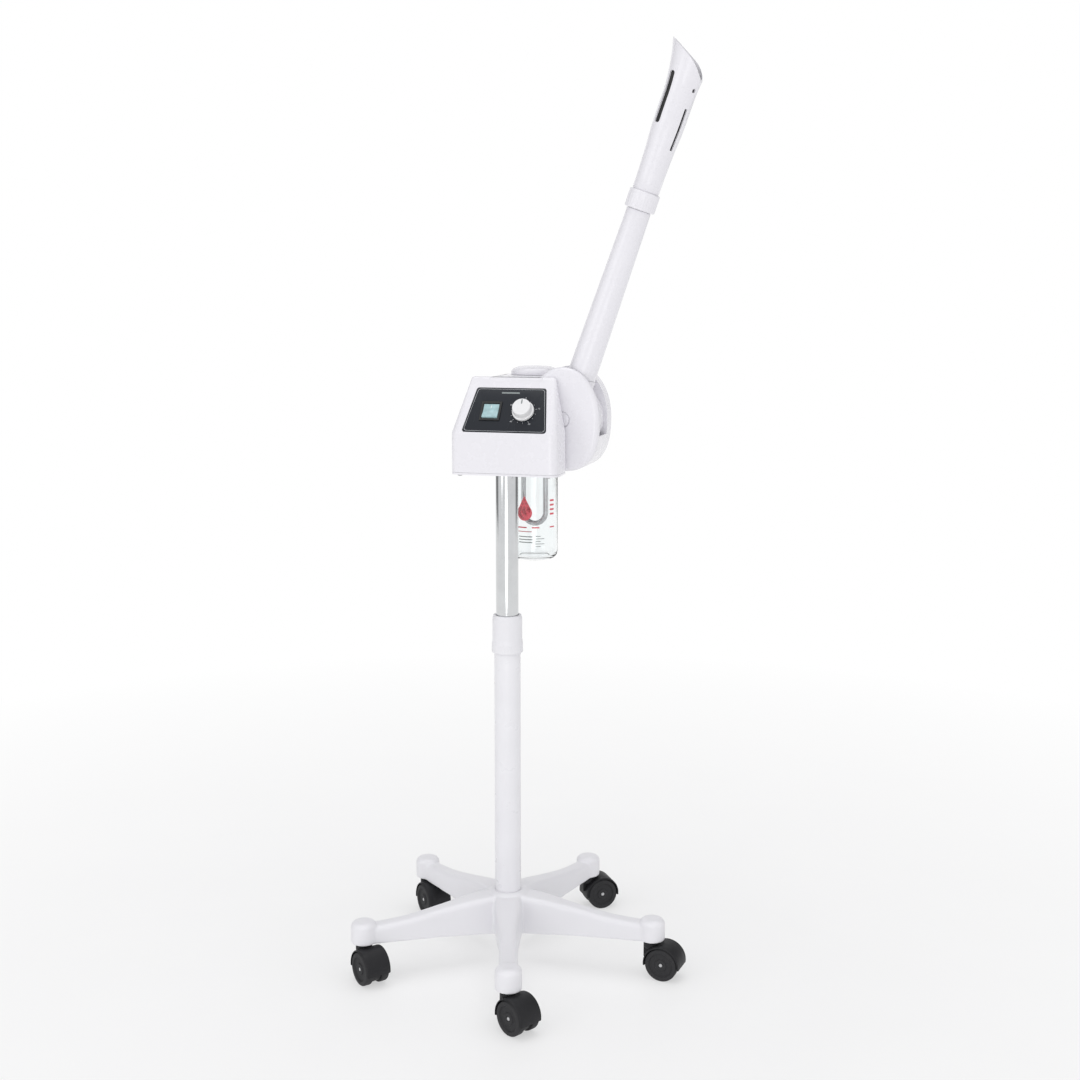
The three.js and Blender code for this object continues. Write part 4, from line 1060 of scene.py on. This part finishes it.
pivot_outline = [(0, 0), (10.5, 0), (12, 1.5), (12, 3), (5, 3), (5, 26), (0, 26)]
pivot_radii = [0, 1.2, 0.8, 0.3, 0.3, 0.8, 0]
backward = POD @ Matrix.Translation((0, 0, (POD_FRONT - 0.2) * MM)) @ Matrix.Rotation(math.pi, 4, "X")
pivot_cap = lathe("pivot_cap_skin", rounded(pivot_outline, pivot_radii, 4, False), backward, 64, False)
settle(pivot_cap, "head", "white_shell", SHELL, "pivot_cap")

# ---------------------------------------------------------------- arm and nozzle

DRUM = ARM @ Matrix.Rotation(-math.pi / 2, 4, "X")  # Z along the tilt axis, towards the back
NECK_END = 66


def hub():
    inside = 49
    drum_outline = [
        (5.3, -23), (50, -23), (52, -21), (52, 21), (50, 23), (11.3, 23), (11.3, 20),
        (inside, 20), (inside, -20), (9, -20), (9, -8), (5.3, -8),
    ]
    drum_radii = [0.4, 3, 3, 3, 3, 0.4, 0.4, 1, 1, 0.4, 0.4, 0.4]
    drum = lathe("arm_hub_skin", rounded(drum_outline, drum_radii, 4), DRUM, 128)
    neck = prism("neck", circle(22.8, 96), 30, NECK_END, ARM, 1.2, 4, "top")
    cut(neck, rod("drum_room", inside, -20, 20, DRUM, 128))
    join(drum, neck)
    return cut(drum, rod("bore", 18.4, 30, NECK_END + 5, ARM, 96))


arm_hub = hub()
settle(arm_hub, "arm", "white_shell", SHELL, "arm_hub")
eased(arm_hub, 0.4, 2, 40)

tube_outline = [
    (13.5, 44), (18.1, 44), (18.1, 66.3), (21.8, 66.3), (21.55, 110), (21.2, 130), (18.3, 326),
    (16.5, 326), (16.5, 352), (13.5, 352),
]
tube_radii = [0.4, 0.6, 0.2, 0.8, 60, 60, 0.8, 0.2, 0.5, 0.4]
arm_tube = lathe("arm_tube_skin", rounded(tube_outline, tube_radii, 5), ARM, 128)
settle(arm_tube, "arm", "white_shell", SHELL, "arm_tube")

ring_outline = [
    (16.8, 326.6), (21.8, 326.6), (23, 328), (23, 331), (23, 350), (23, 352.5), (21.8, 354),
    (19.9, 354), (19.9, 341.2), (16.8, 341.2),
]
ring_radii = [0.3, 0.8, 1.5, 0, 0, 1.5, 0.8, 0.3, 0.2, 0.3]
ring_grip = (30, 0.35, 330, 351)
ring_line = rounded(ring_outline, ring_radii, 4)
nozzle_ring = lathe("nozzle_ring_skin", ring_line, ARM, 240, True, ring_grip)
settle(nozzle_ring, "nozzle", "white_shell", SHELL, "nozzle_ring")

MOUTH_TILT = math.radians(29.5)
MOUTH_ON_AXIS = 553
MOUTH_ROUNDING = 58
MOUTH_END = math.radians(70)
SHELL_WALL = 2.3
nozzle_profile = [
    (20.3, 384), (21.6, 418), (23.4, 450), (23.7, 480),
    (23.9, 505), (26, 528), (30, 552), (38, 583),
]
nozzle_line = [(19.6, 341.5), (19.6, 355), (20.2, 356)] + through(nozzle_profile, 5)


def beyond_mouth(setback):
    """Everything past the mouth: a straight slant that rounds down over the nozzle's short side."""
    steps = 24
    curve = []
    for k in range(steps + 1):
        slope = MOUTH_TILT + (MOUTH_END - MOUTH_TILT) * k / steps
        x = MOUTH_ROUNDING * (math.sin(slope) - math.sin(MOUTH_TILT))
        curve.append((x, MOUTH_ON_AXIS - MOUTH_ROUNDING * (math.cos(MOUTH_TILT) - math.cos(slope))))
    start = (-100, MOUTH_ON_AXIS + 100 * math.tan(MOUTH_TILT))
    outline = [(x, z - setback) for x, z in [(-100, 800), start, *curve, (100, curve[-1][1]), (100, 800)]]
    return prism("beyond", outline, -100, 100, ARM @ UPRIGHT)


def slot_cutter(angle, low, high, width):
    """A round-ended cutter through one side of the nozzle; angle 0 is the front."""
    outline = rounded(rectangle(-width / 2, width / 2, low, high), width * 0.35, 6)
    return prism("slot", outline, 17, 60, ARM @ Matrix.Rotation(math.radians(angle), 4, "Z") @ UPRIGHT)


def nozzle_shell():
    inner_line = [(radius - SHELL_WALL, height) for radius, height in reversed(nozzle_line)]
    shell = lathe("nozzle_shell_skin", nozzle_line + inner_line, ARM, 160)
    cut(shell, beyond_mouth(0))
    pin_turn = Matrix.Rotation(math.radians(62), 4, "Z")
    pin_place = ARM @ Matrix.Translation((0, 0, 509 * MM)) @ pin_turn @ UPRIGHT
    cut(
        shell,
        slot_cutter(-39, 452, 527, 10.5),
        slot_cutter(141, 452, 527, 10.5),
        slot_cutter(57, 420, 482, 5),
        slot_cutter(-123, 420, 482, 5),
        rod("pin_hole", 3.2, 17, 60, pin_place, 24),
    )
    return shell


nozzle = nozzle_shell()
settle(nozzle, "nozzle", "white_shell", SHELL, "nozzle_shell")
eased(nozzle, 0.4, 2, 40)

liner_outline = [
    (18.4, 412), (20.3, 450), (20.9, 505), (24.5, 545), (24.5, 560), (22.8, 560), (22.8, 545),
    (19.2, 505), (18.6, 450), (16.8, 412),
]
liner_radii = [0.3, 60, 40, 20, 0.2, 0.2, 20, 40, 60, 0.3]
liner = lathe("nozzle_liner_skin", rounded(liner_outline, liner_radii, 5), ARM, 128)
cut(liner, beyond_mouth(13))
settle(liner, "nozzle", "bush_black", BUSH, "nozzle_liner")

# ---------------------------------------------------------------- CAD nodes that keep their shape

KEPT = {
    "clamp_bush": (BUSH, 0.3),
    "tube_guide": (BUSH, 0.4),
    "head_socket": (ALLOY, 0.5),
    "rocker_switch_body": (BUSH, 0.4),
    "timer_body": (CLOCKWORK, 0.6),
    "circuit_board": (BOARD, 0.2),
    "power_inlet": (BUSH, 0.7),
    "boiler_plate": (ALLOY, 0.4),
    "jar_gasket": (SEAL, 0.5),
    "steam_chamber": (ALLOY, 0.4),
    "safety_thermostat": (BUSH, 0.5),
    "steam_elbow": (DUCT, 0.0),
    "steam_pipe": (DUCT, 0.3),
}
for name, (look, edge) in KEPT.items():
    node = frame["nodes"][name]
    node.data.materials.clear()
    node.data.materials.append(look)
    if edge:
        eased(node, edge, 2, 40)

# ---------------------------------------------------------------- stage, light and camera


def stage_floor():
    """A pale floor with a painted glow that grows outwards, fading it into the white behind it."""
    bm = bmesh.new()
    bmesh.ops.create_circle(bm, cap_ends=True, radius=9000, segments=64)
    floor = piece_from("studio_floor", bm)
    m = Nodes("studio_floor")
    grain = m.noise(3, 5, roughness=0.6)
    m.feed(
        colour=m.blend(m.spread(grain, 0, 1), (0.88, 0.88, 0.885), (0.85, 0.85, 0.855)),
        rough=m.spread(m.noise(30, 4), 0.5, 0.6),
    )
    m.set(specular_ior_level=0.15)
    distance = m.add("ShaderNodeVectorMath", {0: m.place}, operation="LENGTH").outputs["Value"]
    glow = m.add("ShaderNodeEmission", {"Color": (1, 1, 1, 1)})
    # painted light: half glow near the middle, all glow from 2 m out
    mix = m.add("ShaderNodeMixShader", {0: m.spread(distance, 0.5, 1.0, (0.3, 2.0))})
    m.tree.links.new(m.shader.outputs[0], mix.inputs[1])
    m.tree.links.new(glow.outputs[0], mix.inputs[2])
    m.tree.links.new(mix.outputs[0], m.tree.nodes["Material Output"].inputs["Surface"])
    floor.data.materials.append(m.material)
    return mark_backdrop(floor)


stage_floor()

AZIMUTH = math.radians(17)
CAMERA_DISTANCE = 2.2
CAMERA_HEIGHT = 1.023
LOOK_DOWN = math.radians(7.75)
LOOK_RIGHT = math.radians(1.29)
LENS = 49.35
VIEW_SHIFT = -0.04


def studio_world():
    """White all round, with two grey bands beside the view so that bright metal has something to mirror."""
    world = bpy.data.worlds.new("studio")
    world.use_nodes = True
    tree = world.node_tree
    tree.nodes.clear()
    place = tree.nodes.new("ShaderNodeTexCoord")
    ahead = tree.nodes.new("ShaderNodeVectorMath")
    ahead.operation = "DOT_PRODUCT"
    ahead.inputs[1].default_value = (-math.sin(AZIMUTH), math.cos(AZIMUTH), 0)
    tree.links.new(place.outputs["Generated"], ahead.inputs[0])
    ramp = tree.nodes.new("ShaderNodeValToRGB")
    ramp.color_ramp.interpolation = "EASE"
    stops = [(0.0, 1.0), (0.52, 1.0), (0.62, 0.30), (0.84, 0.22), (0.93, 1.0)]
    elements = ramp.color_ramp.elements
    for k, (at, value) in enumerate(stops):
        element = elements[k] if k < 2 else elements.new(at)
        element.position = at
        element.color = (value, value, value * 1.01, 1)
    half = tree.nodes.new("ShaderNodeMapRange")
    half.inputs["From Min"].default_value = -1
    tree.links.new(ahead.outputs["Value"], half.inputs["Value"])
    tree.links.new(half.outputs[0], ramp.inputs[0])
    seen = tree.nodes.new("ShaderNodeBackground")
    seen.inputs["Color"].default_value = (1, 1, 1, 1)
    seen.inputs["Strength"].default_value = 1.0
    felt = tree.nodes.new("ShaderNodeBackground")
    felt.inputs["Strength"].default_value = 0.92
    tree.links.new(ramp.outputs[0], felt.inputs["Color"])
    path = tree.nodes.new("ShaderNodeLightPath")
    mix = tree.nodes.new("ShaderNodeMixShader")
    tree.links.new(path.outputs["Is Camera Ray"], mix.inputs[0])
    tree.links.new(felt.outputs[0], mix.inputs[1])
    tree.links.new(seen.outputs[0], mix.inputs[2])
    out = tree.nodes.new("ShaderNodeOutputWorld")
    tree.links.new(mix.outputs[0], out.inputs[0])
    bpy.context.scene.world = world


studio_world()


def soft_light(name, place, target, size, power):
    light = bpy.data.lights.new(name, "AREA")
    light.shape = "DISK"
    light.size = size
    light.energy = power
    holder = bpy.data.objects.new(name, light)
    bpy.context.scene.collection.objects.link(holder)
    holder.location = place
    holder.rotation_euler = (Vector(target) - Vector(place)).to_track_quat("-Z", "Y").to_euler()


soft_light("key", (-1.9, -2.7, 1.7), (0, 0, 0.6), 1.8, 9)
soft_light("fill", (0.4, -2.4, 0.5), (0, 0, 0.1), 1.2, 5)
soft_light("overhead", (0, 0.8, 4.8), (0, 0, 0.6), 4.0, 52)

camera = bpy.data.cameras.new("camera")
camera.lens = LENS
camera.sensor_width = 36
camera.shift_y = VIEW_SHIFT
view = bpy.data.objects.new("camera", camera)
bpy.context.scene.collection.objects.link(view)
toward = Vector((math.sin(AZIMUTH), -math.cos(AZIMUTH), 0)) * CAMERA_DISTANCE
view.location = COLUMN.translation + toward + Vector((0, 0, CAMERA_HEIGHT))
view.rotation_euler = (math.radians(90) - LOOK_DOWN, 0, AZIMUTH - LOOK_RIGHT)
bpy.context.scene.camera = view
bpy.context.scene.view_settings.view_transform = "Standard"
